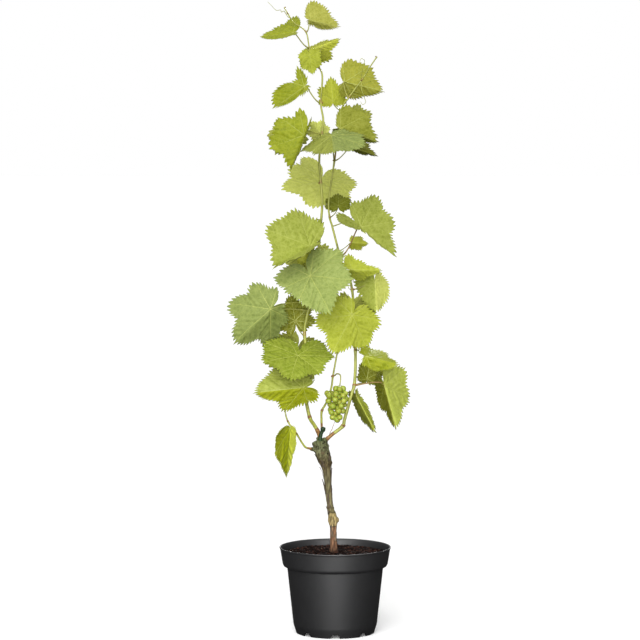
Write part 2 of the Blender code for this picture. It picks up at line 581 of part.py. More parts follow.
def make_bunch(parts):
    """Berries in staggered rings round a filled core, hung on a bowed stalk."""
    line = smooth_line(PEDUNCLE, LIMB_STEPS)
    stalk = tube("grape_bunch", [point(row) for row in line], [PEDUNCLE_RADIUS] * len(line),
                 PEDUNCLE_SIDES, parts)
    core = [(x, BUNCH_Y, z, max(BUNCH_CORE_LEAST, radius * BUNCH_CORE))
            for x, z, radius, _ in BUNCH_RINGS]
    pieces = [limb("core", core, BUNCH_CORE_SIDES, parts)]
    for i, (x, z, radius, count) in enumerate(BUNCH_RINGS):
        for j in range(count):
            turn = 2.0 * pi * (j + 0.5 * (i % 2)) / count + BUNCH_TURN * i
            height = z + BUNCH_STAGGER * cos(3.0 * turn)
            spot = (x + radius * sin(turn), BUNCH_Y - radius * cos(turn), height)
            pieces.append(ball("berry", point(spot), BERRY_RADIUS * MM,
                               BERRY_SIDES, BERRY_STEPS, parts))
    return fuse(stalk, pieces, parts)


def foot_on_shoot(shoot, height):
    """Middle and radius (m) of a shoot at a height in mm."""
    line, radii = shoot_line(shoot)
    height = height * MM
    for start, end, near, far in zip(line, line[1:], radii, radii[1:]):
        if min(start.z, end.z) <= height <= max(start.z, end.z):
            share = (height - start.z) / ((end.z - start.z) or 1.0)
            return start.lerp(end, share), max(near, far) * MM
    return line[-1], radii[-1] * MM


def blade_axes(leaf):
    """Unit vectors clockwise across the blade, along its midrib, and forward."""
    heading, lean = radians(leaf.heading), radians(leaf.lean)
    along = Vector((sin(heading) * cos(lean), -sin(lean), cos(heading) * cos(lean)))
    front = Vector((0.0, -1.0, 0.0))
    forward = (front - along * front.dot(along)).normalized()
    return along.cross(forward), along, forward


def margin_reach(leaf, degrees, reach, dip):
    """Reach of this leaf's margin at an angle from its midrib."""
    share = min(1.0, max(0.0, (abs(degrees) - BASE_FROM) / (BASE_ALL - BASE_FROM)))
    grown = float(np.interp(degrees, GROWTH_ANGLES, [leaf.grown.get(a, 1.0) for a in GROWTH_ANGLES]))
    return (reach - dip * leaf.lobing) * (1.0 + (leaf.base - 1.0) * share) * grown


def on_blade(leaf, axes, degrees, reach, phase):
    """Where the blade is, a reach from its junction at an angle from the midrib."""
    across, along, forward = axes
    angle = radians(degrees)
    side = reach * sin(angle)
    turn = radians(leaf.halves[1] if side > 0.0 else leaf.halves[0])
    rise = abs(side) * sin(turn) - leaf.face * leaf.dome * reach * reach
    rise += RIPPLE_DEPTH * reach * reach * sin(RIPPLES * angle + phase)
    spot = across * (side * cos(turn)) + along * (reach * cos(angle)) + forward * rise
    return point(leaf.junction) + spot * leaf.length * MM


def blade_mesh(name, leaf, phase):
    """A lobed sheet: a fan to half its reach, and a toothed band from there to the margin."""
    axes = blade_axes(leaf)
    rows = MARGIN + tuple((-degrees, reach, dip) for degrees, reach, dip in reversed(MARGIN[1:-1]))
    around = [(degrees, margin_reach(leaf, degrees, reach, dip)) for degrees, reach, dip in rows]
    sheet = bmesh.new()
    middle = sheet.verts.new(point(leaf.junction))
    rim = [sheet.verts.new(on_blade(leaf, axes, d, r, phase)) for d, r in around]
    ring = [sheet.verts.new(on_blade(leaf, axes, d, r * RING, phase)) for d, r in around[::2]]
    for i, inner in enumerate(ring):
        following = ring[(i + 1) % len(ring)]
        first, between, last = rim[2 * i], rim[2 * i + 1], rim[(2 * i + 2) % len(rim)]
        sheet.faces.new((middle, following, inner))
        sheet.faces.new((inner, between, first))
        sheet.faces.new((inner, following, between))
        sheet.faces.new((following, last, between))
    bmesh.ops.recalc_face_normals(sheet, faces=sheet.faces)
    mesh = bpy.data.meshes.new(name)
    sheet.to_mesh(mesh)
    sheet.free()
    return mesh


def petiole_line(leaf, aside=GAP):
    """A bowed stalk from beside the shoot to the blade's junction, and a little along the midrib."""
    across, along, forward = blade_axes(leaf)
    out = forward * leaf.face
    junction = point(leaf.junction) + (across * aside - out * GAP) * MM
    foot, radius = foot_on_shoot(SHOOTS[leaf.shoot], leaf.foot)
    reach = junction - foot
    start_way = Vector((reach.x, reach.y, PETIOLE_RISE * reach.length)).normalized()
    start = foot + start_way * (radius * PETIOLE_CLEAR + 2.0 * GAP * MM)
    bow = PETIOLE_BOW * reach.length
    leave = start + start_way * bow
    arrive = junction - along * bow * PETIOLE_ALONG - out * bow * PETIOLE_BEHIND
    line = []
    for i in range(PETIOLE_STEPS + 1):
        t = i / PETIOLE_STEPS
        s = 1.0 - t
        line.append(start * s ** 3 + leave * 3 * s * s * t + arrive * 3 * s * t * t + junction * t ** 3)
    line.append(junction + along * (leaf.length * PETIOLE_LET_IN * MM))
    return line


TINTS = {
    "mature": (0.32, 0.45, 0.12),
    "bright": (0.40, 0.52, 0.06),
    "lime": (0.48, 0.58, 0.05),
    "shade": (0.12, 0.20, 0.02),
    "under": (0.35, 0.42, 0.10),
}


def make_leaf(name, leaf, phase, parts):
    """One leaf: a blade with its petiole let in along the midrib."""
    girth = PETIOLE_RADIUS * min(1.0, PETIOLE_YOUNG + leaf.length / PETIOLE_GROWTH)
    for solver, aside in JOINS:
        blade = place(name, blade_mesh(name, leaf, phase), parts)
        thicken = blade.modifiers.new("thickness", "SOLIDIFY")
        thicken.thickness = max(BLADE_LEAST, BLADE_THICKNESS * leaf.length) * MM
        thicken.offset = 0.0
        line = petiole_line(leaf, aside)
        stalk = tube("petiole", line, [girth] * len(line), PETIOLE_SIDES, parts)
        made = fuse(blade, [stalk], parts, solver)
        if closed(made.data):
            break
        bpy.data.objects.remove(made)
    made.data.materials.clear()
    made.data.materials.append(material("leaf_" + leaf.tint, TINTS[leaf.tint], 0.5))
    return made


def main():
    for shape in list(bpy.data.objects):
        bpy.data.objects.remove(shape)
    parts = bpy.data.collections.new("grapevine")
    cutters = bpy.data.collections.new("cutters")
    bpy.context.scene.collection.children.link(parts)
    bpy.context.scene.collection.children.link(cutters)
    make_soil(parts).data.materials.append(material("peat", (0.03, 0.012, 0.008), 0.95))
    make_trunk(parts).data.materials.append(material("bark", (0.22, 0.18, 0.10), 0.9))
    stub = limb("stub", STUB_LINE, STUB_SIDES, parts)
    stub.data.materials.append(material("grafting_wax", (0.08, 0.18, 0.13), 0.5))
    make_shoots(parts)
    for i, (name, leaf) in enumerate(LEAVES.items()):
        make_leaf(name, leaf, RIPPLE_SHIFT * i, parts)
    make_bunch(parts).data.materials.append(material("grapes", (0.42, 0.55, 0.11), 0.35))
    for shape in parts.objects:
        if not shape.name.startswith("leaf"):
            shape.data.shade_smooth()
            shape.data.set_sharp_from_angle(angle=radians(SMOOTH_ANGLE))
    pot = make_pot(parts, cutters)
    pot.data.materials.append(material("pot_polypropylene", (0.03, 0.03, 0.03), 0.5))


main()
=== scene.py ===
"""A young grafted grapevine in a three-litre nursery pot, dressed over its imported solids.

The sections follow the plant from the ground up: pot, peat, trunk, waxed stub, green shoots with
their tendrils, leaves, and the bunch.  The studio comes last.  Metres, +Z up, front is -Y.
"""
import json
from collections import namedtuple
from math import atan2, cos, degrees, exp, hypot, pi, radians, sin, sqrt
from random import Random

import bmesh
import bpy
import numpy as np
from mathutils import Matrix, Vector, noise
from numpy.linalg import norm

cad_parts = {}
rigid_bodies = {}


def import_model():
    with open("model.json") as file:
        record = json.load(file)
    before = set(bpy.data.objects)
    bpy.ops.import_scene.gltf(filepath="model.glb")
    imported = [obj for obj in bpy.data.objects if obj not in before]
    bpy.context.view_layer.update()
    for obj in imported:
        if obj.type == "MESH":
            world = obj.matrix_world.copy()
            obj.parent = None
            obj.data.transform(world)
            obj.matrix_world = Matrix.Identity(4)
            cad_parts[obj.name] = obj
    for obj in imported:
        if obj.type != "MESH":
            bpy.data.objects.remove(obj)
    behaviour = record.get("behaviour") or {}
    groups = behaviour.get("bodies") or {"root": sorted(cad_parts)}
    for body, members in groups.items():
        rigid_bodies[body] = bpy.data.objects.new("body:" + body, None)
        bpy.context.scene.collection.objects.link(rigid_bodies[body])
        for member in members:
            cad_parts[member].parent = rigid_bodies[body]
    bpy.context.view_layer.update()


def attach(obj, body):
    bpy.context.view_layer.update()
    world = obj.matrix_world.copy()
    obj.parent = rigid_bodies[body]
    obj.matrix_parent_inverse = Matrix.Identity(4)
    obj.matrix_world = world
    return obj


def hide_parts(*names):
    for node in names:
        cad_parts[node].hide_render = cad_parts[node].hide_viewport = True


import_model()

MM = 0.001


# ------------------------------------------------------------------------------------------- Pot
# A three-litre nursery container, injection moulded in black polypropylene about 1.5 mm thick.
# The wall steps out into a deep stacking lip, and the foot ring has eight drainage notches.

POT_SIDES = 160
POT_PROFILE = (  # radius, height, rounding of that corner (mm)
    (0, 1.6, 0), (18, 1.6, 2), (23, 8, 2), (61, 8, 2), (69.6, 16, 2.5), (80.1, 114.6, 1.2),
    (86.2, 117.8, 1), (87.9, 120.2, 1), (91.6, 143.6, 1.2), (93.2, 146.9, 0.7), (94.7, 146.7, 0.5),
    (95, 145.2, 0.5), (93.8, 143.4, 0.6), (89.5, 117.8, 1.4), (87.6, 114.6, 1), (81.9, 112.4, 0.9),
    (71.3, 15, 3), (67.6, 3.6, 1.6), (66.6, 0, 0.5), (64.6, 0, 0.5), (63.7, 6.4, 1), (23, 6.4, 1.5),
    (20, 0, 0.6), (0, 0, 0),
)
NOTCH_COUNT = 8
NOTCH_OUTLINE = (  # across and up (mm): it narrows from its foot to a rounded top
    (-8.75, -2), (8.75, -2), (8.15, 0.4), (5.75, 5.4), (4.75, 6.2), (-4.75, 6.2), (-5.75, 5.4),
    (-8.15, 0.4),
)
NOTCH_FROM, NOTCH_TO = 58.0, 78.0  # mm from the axis, either side of the foot


def linear(hex_text):
    """An sRGB hex colour as linear red, green, blue and alpha."""
    shares = [int(hex_text[i:i + 2], 16) / 255.0 for i in (1, 3, 5)]
    return tuple(c / 12.92 if c <= 0.04045 else ((c + 0.055) / 1.055) ** 2.4 for c in shares) + (1.0,)


def add(tree, kind, inputs=None, stops=None, **settings):
    """Add a node to a tree: its settings, a ramp's stops, and its inputs as values or links."""
    made = tree.nodes.new("ShaderNode" + kind)
    for key, value in settings.items():
        setattr(made, key, value)
    for i, (place, hex_text) in enumerate(stops or ()):
        stop = made.color_ramp.elements[i] if i < 2 else made.color_ramp.elements.new(place)
        stop.position = place
        stop.color = linear(hex_text)
    for key, value in (inputs or {}).items():
        if isinstance(value, bpy.types.NodeSocket):
            tree.links.new(value, made.inputs[key])
        else:
            made.inputs[key].default_value = value
    return made


def finish_named(name, **sockets):
    """An empty finish: the material, its node tree and its shader with these sockets set."""
    finish = bpy.data.materials.new(name)
    finish.use_nodes = True
    shader = finish.node_tree.nodes["Principled BSDF"]
    for key, value in sockets.items():
        shader.inputs[key.replace("_", " ")].default_value = value
    return finish, finish.node_tree, shader


def mottled(name, look, stops, squash=None, **sockets):
    """A finish coloured by a ramp over noise (scale, detail, roughness), drawn out along Z."""
    finish, tree, shader = finish_named(name, **sockets)
    where = add(tree, "TexCoord").outputs["Object"]
    if squash:
        where = add(tree, "Mapping", {"Vector": where, "Scale": (1.0, 1.0, squash)}).outputs[0]
    look = dict(zip(("Scale", "Detail", "Roughness"), look))
    cloud = add(tree, "TexNoise", {"Vector": where, **look})
    tone = add(tree, "ValToRGB", {"Fac": cloud.outputs["Fac"]}, stops=stops)
    tree.links.new(tone.outputs["Color"], shader.inputs["Base Color"])
    return finish


def emboss(finish, height, strength, distance):
    """Give a finish fine relief from a node's output."""
    tree = finish.node_tree
    relief = add(tree, "Bump", {"Height": height, "Strength": strength, "Distance": distance})
    tree.links.new(relief.outputs["Normal"], tree.nodes["Principled BSDF"].inputs["Normal"])


def put(name, data):
    """A new object in the scene."""
    made = bpy.data.objects.new(name, data)
    bpy.context.scene.collection.objects.link(made)
    return made


class Heap:
    """A piece as it grows: its points (m), its faces, and the number of each face's finish."""

    def __init__(self):
        self.points, self.faces, self.which = [], [], []

    def take(self, form, finish=0):
        """Take in a form's points and faces, in one finish or one for each face."""
        points, faces = form
        first = len(self.points)
        self.points += list(points)
        self.faces += [[first + v for v in face] for face in faces]
        self.which += finish if isinstance(finish, list) else [finish] * len(faces)


def lay(name, heap, finishes, smooth=True):
    """A mesh piece riding on the plant's one body, with its finishes dealt to its faces."""
    mesh = bpy.data.meshes.new(name)
    mesh.from_pydata([tuple(p) for p in heap.points], [], heap.faces)
    for finish in finishes:
        mesh.materials.append(finish)
    mesh.polygons.foreach_set("material_index", np.array(heap.which, dtype=np.int32))
    mesh.polygons.foreach_set("use_smooth", np.full(len(mesh.polygons), smooth))
    mesh.update()
    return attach(put(name, mesh), "root")


def applied(piece):
    """A piece's mesh with its modifiers carried out, which are then taken off it."""
    bpy.context.view_layer.update()
    made = bpy.data.meshes.new_from_object(piece.evaluated_get(bpy.context.evaluated_depsgraph_get()))
    piece.modifiers.clear()
    return made


def turn_outward(mesh):
    """Turn a closed mesh's faces outward."""
    form = bmesh.new()
    form.from_mesh(mesh)
    bmesh.ops.recalc_face_normals(form, faces=form.faces)
    form.to_mesh(mesh)
    form.free()


def rounded(profile, steps=4):
    """A profile with each corner swept round to its own radius."""
    out = []
    for i, (r, z, bend) in enumerate(profile):
        if not bend:
            out.append((r, z))
            continue
        here, back, on = np.array((r, z)), np.array(profile[i - 1][:2]), np.array(profile[i + 1][:2])
        reach = min(bend, 0.45 * norm(back - here), 0.45 * norm(on - here))
        start = here + (back - here) / norm(back - here) * reach
        end = here + (on - here) / norm(on - here) * reach
        for step in range(steps + 1):
            t = step / steps
            out.append(tuple(start * (1 - t) ** 2 + here * 2 * t * (1 - t) + end * t * t))
    return out


def lathe(profile, sides):
    """Points and faces of a profile turned about Z; radii of nought close it on the axis."""
    points, rings = [], []
    for r, z in profile:
        if r < 1e-6:
            rings.append([len(points)] * sides)
            points.append((0.0, 0.0, z * MM))
            continue
        rings.append(list(range(len(points), len(points) + sides)))
        for k in range(sides):
            a = 2.0 * pi * k / sides
            points.append((r * cos(a) * MM, r * sin(a) * MM, z * MM))
    faces = []
    for low, high in zip(rings, rings[1:]):
        for k in range(sides):
            n = (k + 1) % sides
            quad = [low[k], high[k], high[n], low[n]]
            faces.append([v for j, v in enumerate(quad) if v not in quad[:j]])
    return points, faces


# Polypropylene: satin from the mould, with faint flow streaks and a little dry soil dust.
polypropylene = mottled("moulded_polypropylene", (38.0, 5.0, 0.6), ((0.35, "#0d0d0e"), (0.72, "#131314")),
                        Roughness=0.58, Specular_IOR_Level=0.5)
tree = polypropylene.node_tree
where = tree.nodes["Texture Coordinate"].outputs["Object"]
grain = add(tree, "TexNoise", {"Vector": where, "Scale": 900.0, "Detail": 2.0})
emboss(polypropylene, grain.outputs["Fac"], 0.12, 0.0004)

heap = Heap()
heap.take(lathe(rounded(POT_PROFILE), POT_SIDES))
pot = lay("pot_moulding", heap, [polypropylene])
turn_outward(pot.data)
cutters = bpy.data.collections.new("notch_cutters")
bpy.context.scene.collection.children.link(cutters)
count = len(NOTCH_OUTLINE)
walls = [[j, (j + 1) % count, count + (j + 1) % count, count + j] for j in range(count)]
ends = [list(range(count))[::-1], list(range(count, 2 * count))]
for k in range(NOTCH_COUNT):
    a = 2.0 * pi * (k + 0.5) / NOTCH_COUNT + pi / 8.0
    out, side = Vector((cos(a), sin(a), 0.0)), Vector((-sin(a), cos(a), 0.0))
    mesh = bpy.data.meshes.new("notch")
    mesh.from_pydata([(out * r + side * x + Vector((0, 0, z))) * MM
                      for r in (NOTCH_FROM, NOTCH_TO) for x, z in NOTCH_OUTLINE], [], walls + ends)
    mesh.validate()
    turn_outward(mesh)
    cutters.objects.link(bpy.data.objects.new(f"notch_{k}", mesh))
cut = pot.modifiers.new("notches", "BOOLEAN")
cut.operation, cut.operand_type, cut.collection, cut.solver = "DIFFERENCE", "COLLECTION", cutters, "EXACT"
pot.data = applied(pot)
for cutter in list(cutters.objects):
    bpy.data.objects.remove(cutter)
bpy.data.collections.remove(cutters)
pot.data.shade_smooth()
pot.data.set_sharp_from_angle(angle=radians(38))
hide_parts("pot")


# ------------------------------------------------------------------------------------------ Peat
# Moist potting compost, pressed down a finger's width below the rim: dark peat crumbs with
# shreds of composted bark, and a scatter of pale grit that has worked up to the surface.

PEAT_LEVEL = 137.0
PEAT_RADIUS = 90.3
PEAT_RINGS, PEAT_SIDES = 64, 200
PEAT_FLANK = ((87, 121.5), (86, 119), (79.4, 114), (68.6, 17), (0, 9))  # down inside the pot
CRUMBS = (  # count, smallest and largest (mm), flatness, finish
    (1500, 0.7, 2.3, 0.8, 0), (420, 1.2, 3.4, 0.45, 1), (110, 0.4, 1.1, 0.8, 2),
)


def peat_height(x, y):
    """Height of the compost at a spot, in mm: pressed clods, crumbs, and a mound at the trunk."""
    clods = noise.noise(Vector((x / 19.0, y / 19.0, 3.0))) * 1.9
    crumbs = noise.noise(Vector((x / 5.0, y / 5.0, 7.0))) * 1.3
    crumbs += noise.noise(Vector((x / 2.1, y / 2.1, 11.0))) * 0.7
    mound = 2.5 * exp(-((x + 2.5) ** 2 + y * y) / 260.0)
    edge = 2.4 * max(0.0, hypot(x, y) / PEAT_RADIUS - 0.88) / 0.12
    return PEAT_LEVEL - 1.0 + clods + crumbs + mound - edge


def crumb(centre, size, flat, rng):
    """An angular crumb: a jittered octahedron laid flat and turned at random."""
    turn, tip = rng.uniform(0, 2 * pi), rng.uniform(-0.5, 0.5)
    long = rng.uniform(1.0, 1.9)
    out = []
    for x, y, z in ((1, 0, 0), (0, 1, 0), (-1, 0, 0), (0, -1, 0), (0.2, 0.1, 1), (0, 0, -1)):
        x, y, z = (v * rng.uniform(0.7, 1.2) for v in (x * long, y, z * flat))
        y, z = y * cos(tip) - z * sin(tip), y * sin(tip) + z * cos(tip)
        x, y = x * cos(turn) - y * sin(turn), x * sin(turn) + y * cos(turn)
        out.append(tuple((c + v * size) * MM for c, v in zip(centre, (x, y, z))))
    return out, [(0, 1, 4), (1, 2, 4), (2, 3, 4), (3, 0, 4), (1, 0, 5), (2, 1, 5), (3, 2, 5), (0, 3, 5)]


# Peat is damp, so nearly black-brown and fully matt.  Composted bark is redder, a little lighter
# and fibrous, and the grit is fine quartz and perlite, dusty and pale.  The peat and bark colours
# are also darkened all over as painted shade, standing in for the shade of the pot's lip and stakes.
peat = mottled("moist_peat_and_painted_shade", (260.0, 6.0, 0.7), ((0.30, "#090402"), (0.55, "#120806"), (0.75, "#1f0f0a")),
               Roughness=0.94, Specular_IOR_Level=0.08)
emboss(peat, peat.node_tree.nodes["Noise Texture"].outputs["Fac"], 0.5, 0.001)
bark_shred = mottled("composted_bark_and_painted_shade", (420.0, 3.0), ((0.35, "#1e0d07"), (0.70, "#3c2014")),
                     Roughness=0.85, Specular_IOR_Level=0.15)
grit = mottled("pale_grit", (300.0,), ((0.4, "#5a4536"), (0.65, "#8a7666")), Roughness=0.8)

profile = [(PEAT_RADIUS * (k / PEAT_RINGS) ** 0.85, 0.0) for k in range(PEAT_RINGS + 1)]
points, faces = lathe([*profile, *PEAT_FLANK], PEAT_SIDES)
top_count = 1 + PEAT_RINGS * PEAT_SIDES
points[:top_count] = [(x, y, peat_height(x / MM, y / MM) * MM) for x, y, _ in points[:top_count]]
heap = Heap()
heap.take((points, faces))
rng = Random(31)
for count, small, large, flat, finish in CRUMBS:
    for _ in range(count):
        r, a = PEAT_RADIUS * 0.985 * sqrt(rng.random()), rng.uniform(0, 2 * pi)
        x, y = r * cos(a), r * sin(a)
        size = small + (large - small) * rng.random() ** 2
        heap.take(crumb((x, y, peat_height(x, y) + size * 0.25), size, flat, rng), finish)
compost = lay("compost", heap, [peat, bark_shred, grit], smooth=False)
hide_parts("soil")


# ----------------------------------------------------------------------------------------- Trunk
# Rootstock below, scion above, healed at a lumpy graft union.  Old vine bark splits lengthwise
# into grey-olive strips that peel, and the head is knuckled where last year's canes were cut.

TRUNK_LINE = (  # x, y, z, radius (mm)
    (-2.5, 0, 137.3, 8.2), (-2.6, 0, 142, 6.9), (-2.8, 0, 156, 5.8), (-3.2, 0, 180, 5.9),
    (-3.8, 0, 190, 8.2), (-5.6, 0, 202, 7), (-9.2, 0, 218, 5.3), (-12, 0, 244, 5.5),
    (-13.6, 0.5, 268, 6.5), (-15.6, 0.5, 284, 8), (-17.4, 0, 294, 11.6), (-21.3, 0, 307, 12),
    (-23.5, 0, 317, 11.4), (-25.6, -3.4, 323.5, 7.2), (-25.7, -3.8, 327.9, 4.6),
)
TRUNK_KNOBS = (  # x, y, z, radius (mm)
    # The lip of the graft union, an old spur that has rounded over, and lumps of the head.
    (0.4, -0.5, 192.5, 6.4),
    (-32.8, -5, 322.4, 6.2),
    (-9.6, 1, 290, 4.6), (-17, 5, 320, 6.4), (-26.5, 6, 306, 7.5), (-31, -1, 312.5, 6.2),
    (-20, -8, 297, 5.6),
    # These four carry the shoots.
    (-17.9, 2, 327.6, 5.4), (-26.8, 6.4, 329.6, 5.6), (-37.7, -0.3, 313.3, 4.5), (-22.5, 3, 323, 5),
)
UNION_TOP, HEAD_FOOT, KNUCKLES_FROM = 188.0, 284.0, 290.0  # mm
TRUNK_SIDES, KNOB_MESH = 24, (20, 12)  # sides of the trunk; sides and rings of a knob
TRUNK_SUNK = 3.0  # mm into the peat
BARK_VOXEL = 0.75  # mm between points of the bark mesh
BARK_RELIEF = 0.85  # mm, deepest split between strips
FLAKES_AND_SHADE_STRIPS = (  # height, direction round the trunk (deg), length, width, lift (mm)
    (246, 205, 26, 5, 2.6), (270, 182, 20, 4, 2.2), (232, 330, 24, 3.6, 1.2), (262, 350, 30, 4, 1.6),
    (222, 262, 26, 3.6, 1), (287, 244, 14, 5.5, 2), (298, 205, 12, 5, 2.4), (300, 318, 14, 4.5, 1.8),
    (252, 60, 26, 4.5, 1.8), (276, 110, 22, 4, 1.8), (238, 140, 22, 4, 1.2), (172, 250, 20, 3.2, 0.7),
    # The first two rows here, long and narrow down the right-front, are painted shade: dark strips where
    # shade falls along the trunk's right edge.
    (262, 338, 44, 3.6, 0.5), (226, 340, 40, 3.4, 0.4), (162, 310, 16, 3, 0.7), (168, 80, 18, 3.2, 0.8),
    (207, 215, 14, 4, 1),
)
FLAKE_ROWS, FLAKE_THICK = 9, 0.45
FLAKE_COLUMNS = (-1.0, -0.4, 0.4, 1.0)  # across a flake, of half its width


def smooth_line(rows, between):
    """Rows of numbers with more put evenly between them on a smooth curve."""
    rows = [np.array(row, dtype=float) for row in rows]
    padded = [2.0 * rows[0] - rows[1], *rows, 2.0 * rows[-1] - rows[-2]]
    out = []
    for before, start, end, after in zip(padded, padded[1:], padded[2:], padded[3:]):
        for share in (k / (between + 1) for k in range(between + 1)):
            square, cube = share * share, share ** 3
            out.append(0.5 * (2.0 * start + (end - before) * share
                              + (2.0 * before - 5.0 * start + 4.0 * end - after) * square
                              + (3.0 * start - before - 3.0 * end + after) * cube))
    out.append(rows[-1])
    return np.array(out)


def stem(line, radii, sides):
    """Points and faces of a round stem along a line in mm, closed and domed at both ends."""
    line = np.asarray(line, dtype=float)
    run = np.gradient(line, axis=0)
    run /= norm(run, axis=1)[:, None]
    side = np.cross(run[0], (0.13, 0.94, 0.31))
    points, faces = [], []
    for i, (spot, way) in enumerate(zip(line, run)):
        side = side - way * side.dot(way)
        side /= norm(side)
        up = np.cross(way, side)
        for k in range(sides):
            a = 2.0 * pi * k / sides
            points.append((spot + (side * cos(a) + up * sin(a)) * radii[i]) * MM)
            if i:
                low, high, n = (i - 1) * sides, i * sides, (k + 1) % sides
                faces.append([low + k, low + n, high + n, high + k])
    foot, last = len(points), len(points) - sides
    points.append((line[0] - run[0] * radii[0] * 0.4) * MM)
    points.append((line[-1] + run[-1] * radii[-1] * 0.5) * MM)
    faces += [[(k + 1) % sides, k, foot] for k in range(sides)]
    faces += [[last + k, last + (k + 1) % sides, foot + 1] for k in range(sides)]
    return points, faces


def ball(centre, radius, sides, rings):
    """Points and faces of a round lump, in mm."""
    points = [np.add(centre, (0, 0, -radius)) * MM]
    for j in range(1, rings):
        b = pi * j / rings
        for k in range(sides):
            a = 2.0 * pi * k / sides
            points.append(np.add(centre, (radius * sin(b) * cos(a), radius * sin(b) * sin(a),
                                          -radius * cos(b))) * MM)
    points.append(np.add(centre, (0, 0, radius)) * MM)
    at = lambda j, k: 1 + (j - 1) * sides + k % sides
    faces = [[0, at(1, k + 1), at(1, k)] for k in range(sides)]
    for j in range(1, rings - 1):
        faces += [[at(j, k), at(j, k + 1), at(j + 1, k + 1), at(j + 1, k)] for k in range(sides)]
    faces += [[at(rings - 1, k), at(rings - 1, k + 1), len(points) - 1] for k in range(sides)]
    return points, faces


def flake(line, z, heading, length, width, lift, rng):
    """A loose strip of bark that clings to the trunk's line at its foot and curls off above."""
    points, faces = [], []
    for face in (0.0, FLAKE_THICK):
        for i in range(FLAKE_ROWS):
            t = i / (FLAKE_ROWS - 1)
            h = z + (t - 0.35) * length
            near = int(np.argmin(np.abs(line[:, 2] - h)))
            middle, girth = line[near, :3], line[near, 3]
            away = girth + 0.1 + lift * t * t + face + rng.uniform(0.0, 0.12)
            for j in FLAKE_COLUMNS:
                b = radians(heading) + j * width * (1.0 - 0.55 * t) / (2.0 * girth) + 0.10 * sin(4.0 * t + z)
                curl = away + (0.6 * t * j * j)
                points.append(((middle[0] + cos(b) * curl) * MM, (middle[1] + sin(b) * curl) * MM, h * MM))
    size = FLAKE_ROWS * 4
    for i in range(0, size - 4, 4):
        for p in range(i, i + 3):
            q = p + size
            faces += [[p, p + 4, p + 5, p + 1], [q, q + 1, q + 5, q + 4]]
        for p, q in ((i, i + 4), (i + 7, i + 3)):
            faces.append([p, p + size, q + size, q])
    faces += [[p, p + 1, p + 1 + size, p + size] for p in range(3)]
    faces += [[p, p + size, p + 1 + size, p + 1] for p in range(size - 4, size - 1)]
    return points, faces


# Vine bark: dry and matt.  The rootstock is pinkish, the union tan, the scion olive-grey, and
# the splits between strips are nearly black.  Strips are 2 to 3 mm wide and run up the trunk.
vine_bark, tree, shader = finish_named("split_vine_bark", Roughness=0.88, Specular_IOR_Level=0.15)
where = add(tree, "TexCoord").outputs["Object"]
height = add(tree, "SeparateXYZ", {"Vector": where}).outputs["Z"]
waver = add(tree, "TexNoise", {"Vector": where, "Scale": 170.0, "Detail": 2.0}).outputs["Fac"]
shifted = add(tree, "Math", {0: waver, 1: 0.010, 2: height}, operation="MULTIPLY_ADD").outputs[0]
up_trunk = add(tree, "MapRange", {"Value": shifted, 1: 0.142, 2: 0.342}).outputs["Result"]
# The first stop darkens the trunk's foot just above the peat: painted shade under the pot's rim.
zone = add(tree, "ValToRGB", {"Fac": up_trunk}, stops=(
    (0.0, "#2c1e16"), (0.06, "#6b4f3c"), (0.16, "#8d6b52"), (0.212, "#7c5e45"), (0.222, "#2e2118"),
    (0.234, "#a59569"), (0.33, "#978a5e"), (0.345, "#332b1c"), (0.362, "#7b7653"), (0.62, "#6c684c"),
    (0.76, "#685d41"), (0.88, "#727656"), (1.0, "#68724c")))
along = add(tree, "Mapping", {"Vector": where, "Scale": (1.0, 1.0, 0.13)}).outputs["Vector"]
strips = add(tree, "TexNoise", {"Vector": along, "Scale": 420.0, "Detail": 5.0, "Roughness": 0.62})
split = add(tree, "ValToRGB", {"Fac": strips.outputs["Fac"]},
            stops=((0.34, "#2e2822"), (0.45, "#8f877e"), (0.58, "#f2eee8"), (0.72, "#ffffff")))
worn = add(tree, "Mix", {"Factor": 0.88, 6: zone.outputs["Color"], 7: split.outputs["Color"]},
           data_type="RGBA", blend_type="MULTIPLY")
patch = add(tree, "TexNoise", {"Vector": where, "Scale": 95.0, "Detail": 3.0})
scar = add(tree, "ValToRGB", {"Fac": patch.outputs["Fac"]}, stops=((0.60, "#000000"), (0.70, "#ffffff")))
aged = add(tree, "Mix", {"Factor": scar.outputs["Color"], 6: worn.outputs[2], 7: linear("#4c3a2a")},
           data_type="RGBA")
# Dark pits over the knuckled head are painted shade in its crevices.
knuckled = add(tree, "MapRange", {"Value": height, 1: 0.284, 2: 0.304}).outputs["Result"]
pits = add(tree, "TexNoise", {"Vector": where, "Scale": 190.0, "Detail": 3.0, "Roughness": 0.6})
pit = add(tree, "MapRange", {"Value": pits.outputs["Fac"], 1: 0.44, 2: 0.36}).outputs["Result"]
painted_crevice_shade = add(tree, "Math", {0: pit, 1: knuckled}, operation="MULTIPLY").outputs[0]
dark = add(tree, "Mix", {"Factor": painted_crevice_shade, 6: aged.outputs[2], 7: linear("#1c150e")}, data_type="RGBA")
tree.links.new(dark.outputs[2], shader.inputs["Base Color"])
emboss(vine_bark, strips.outputs["Fac"], 0.8, 0.0012)

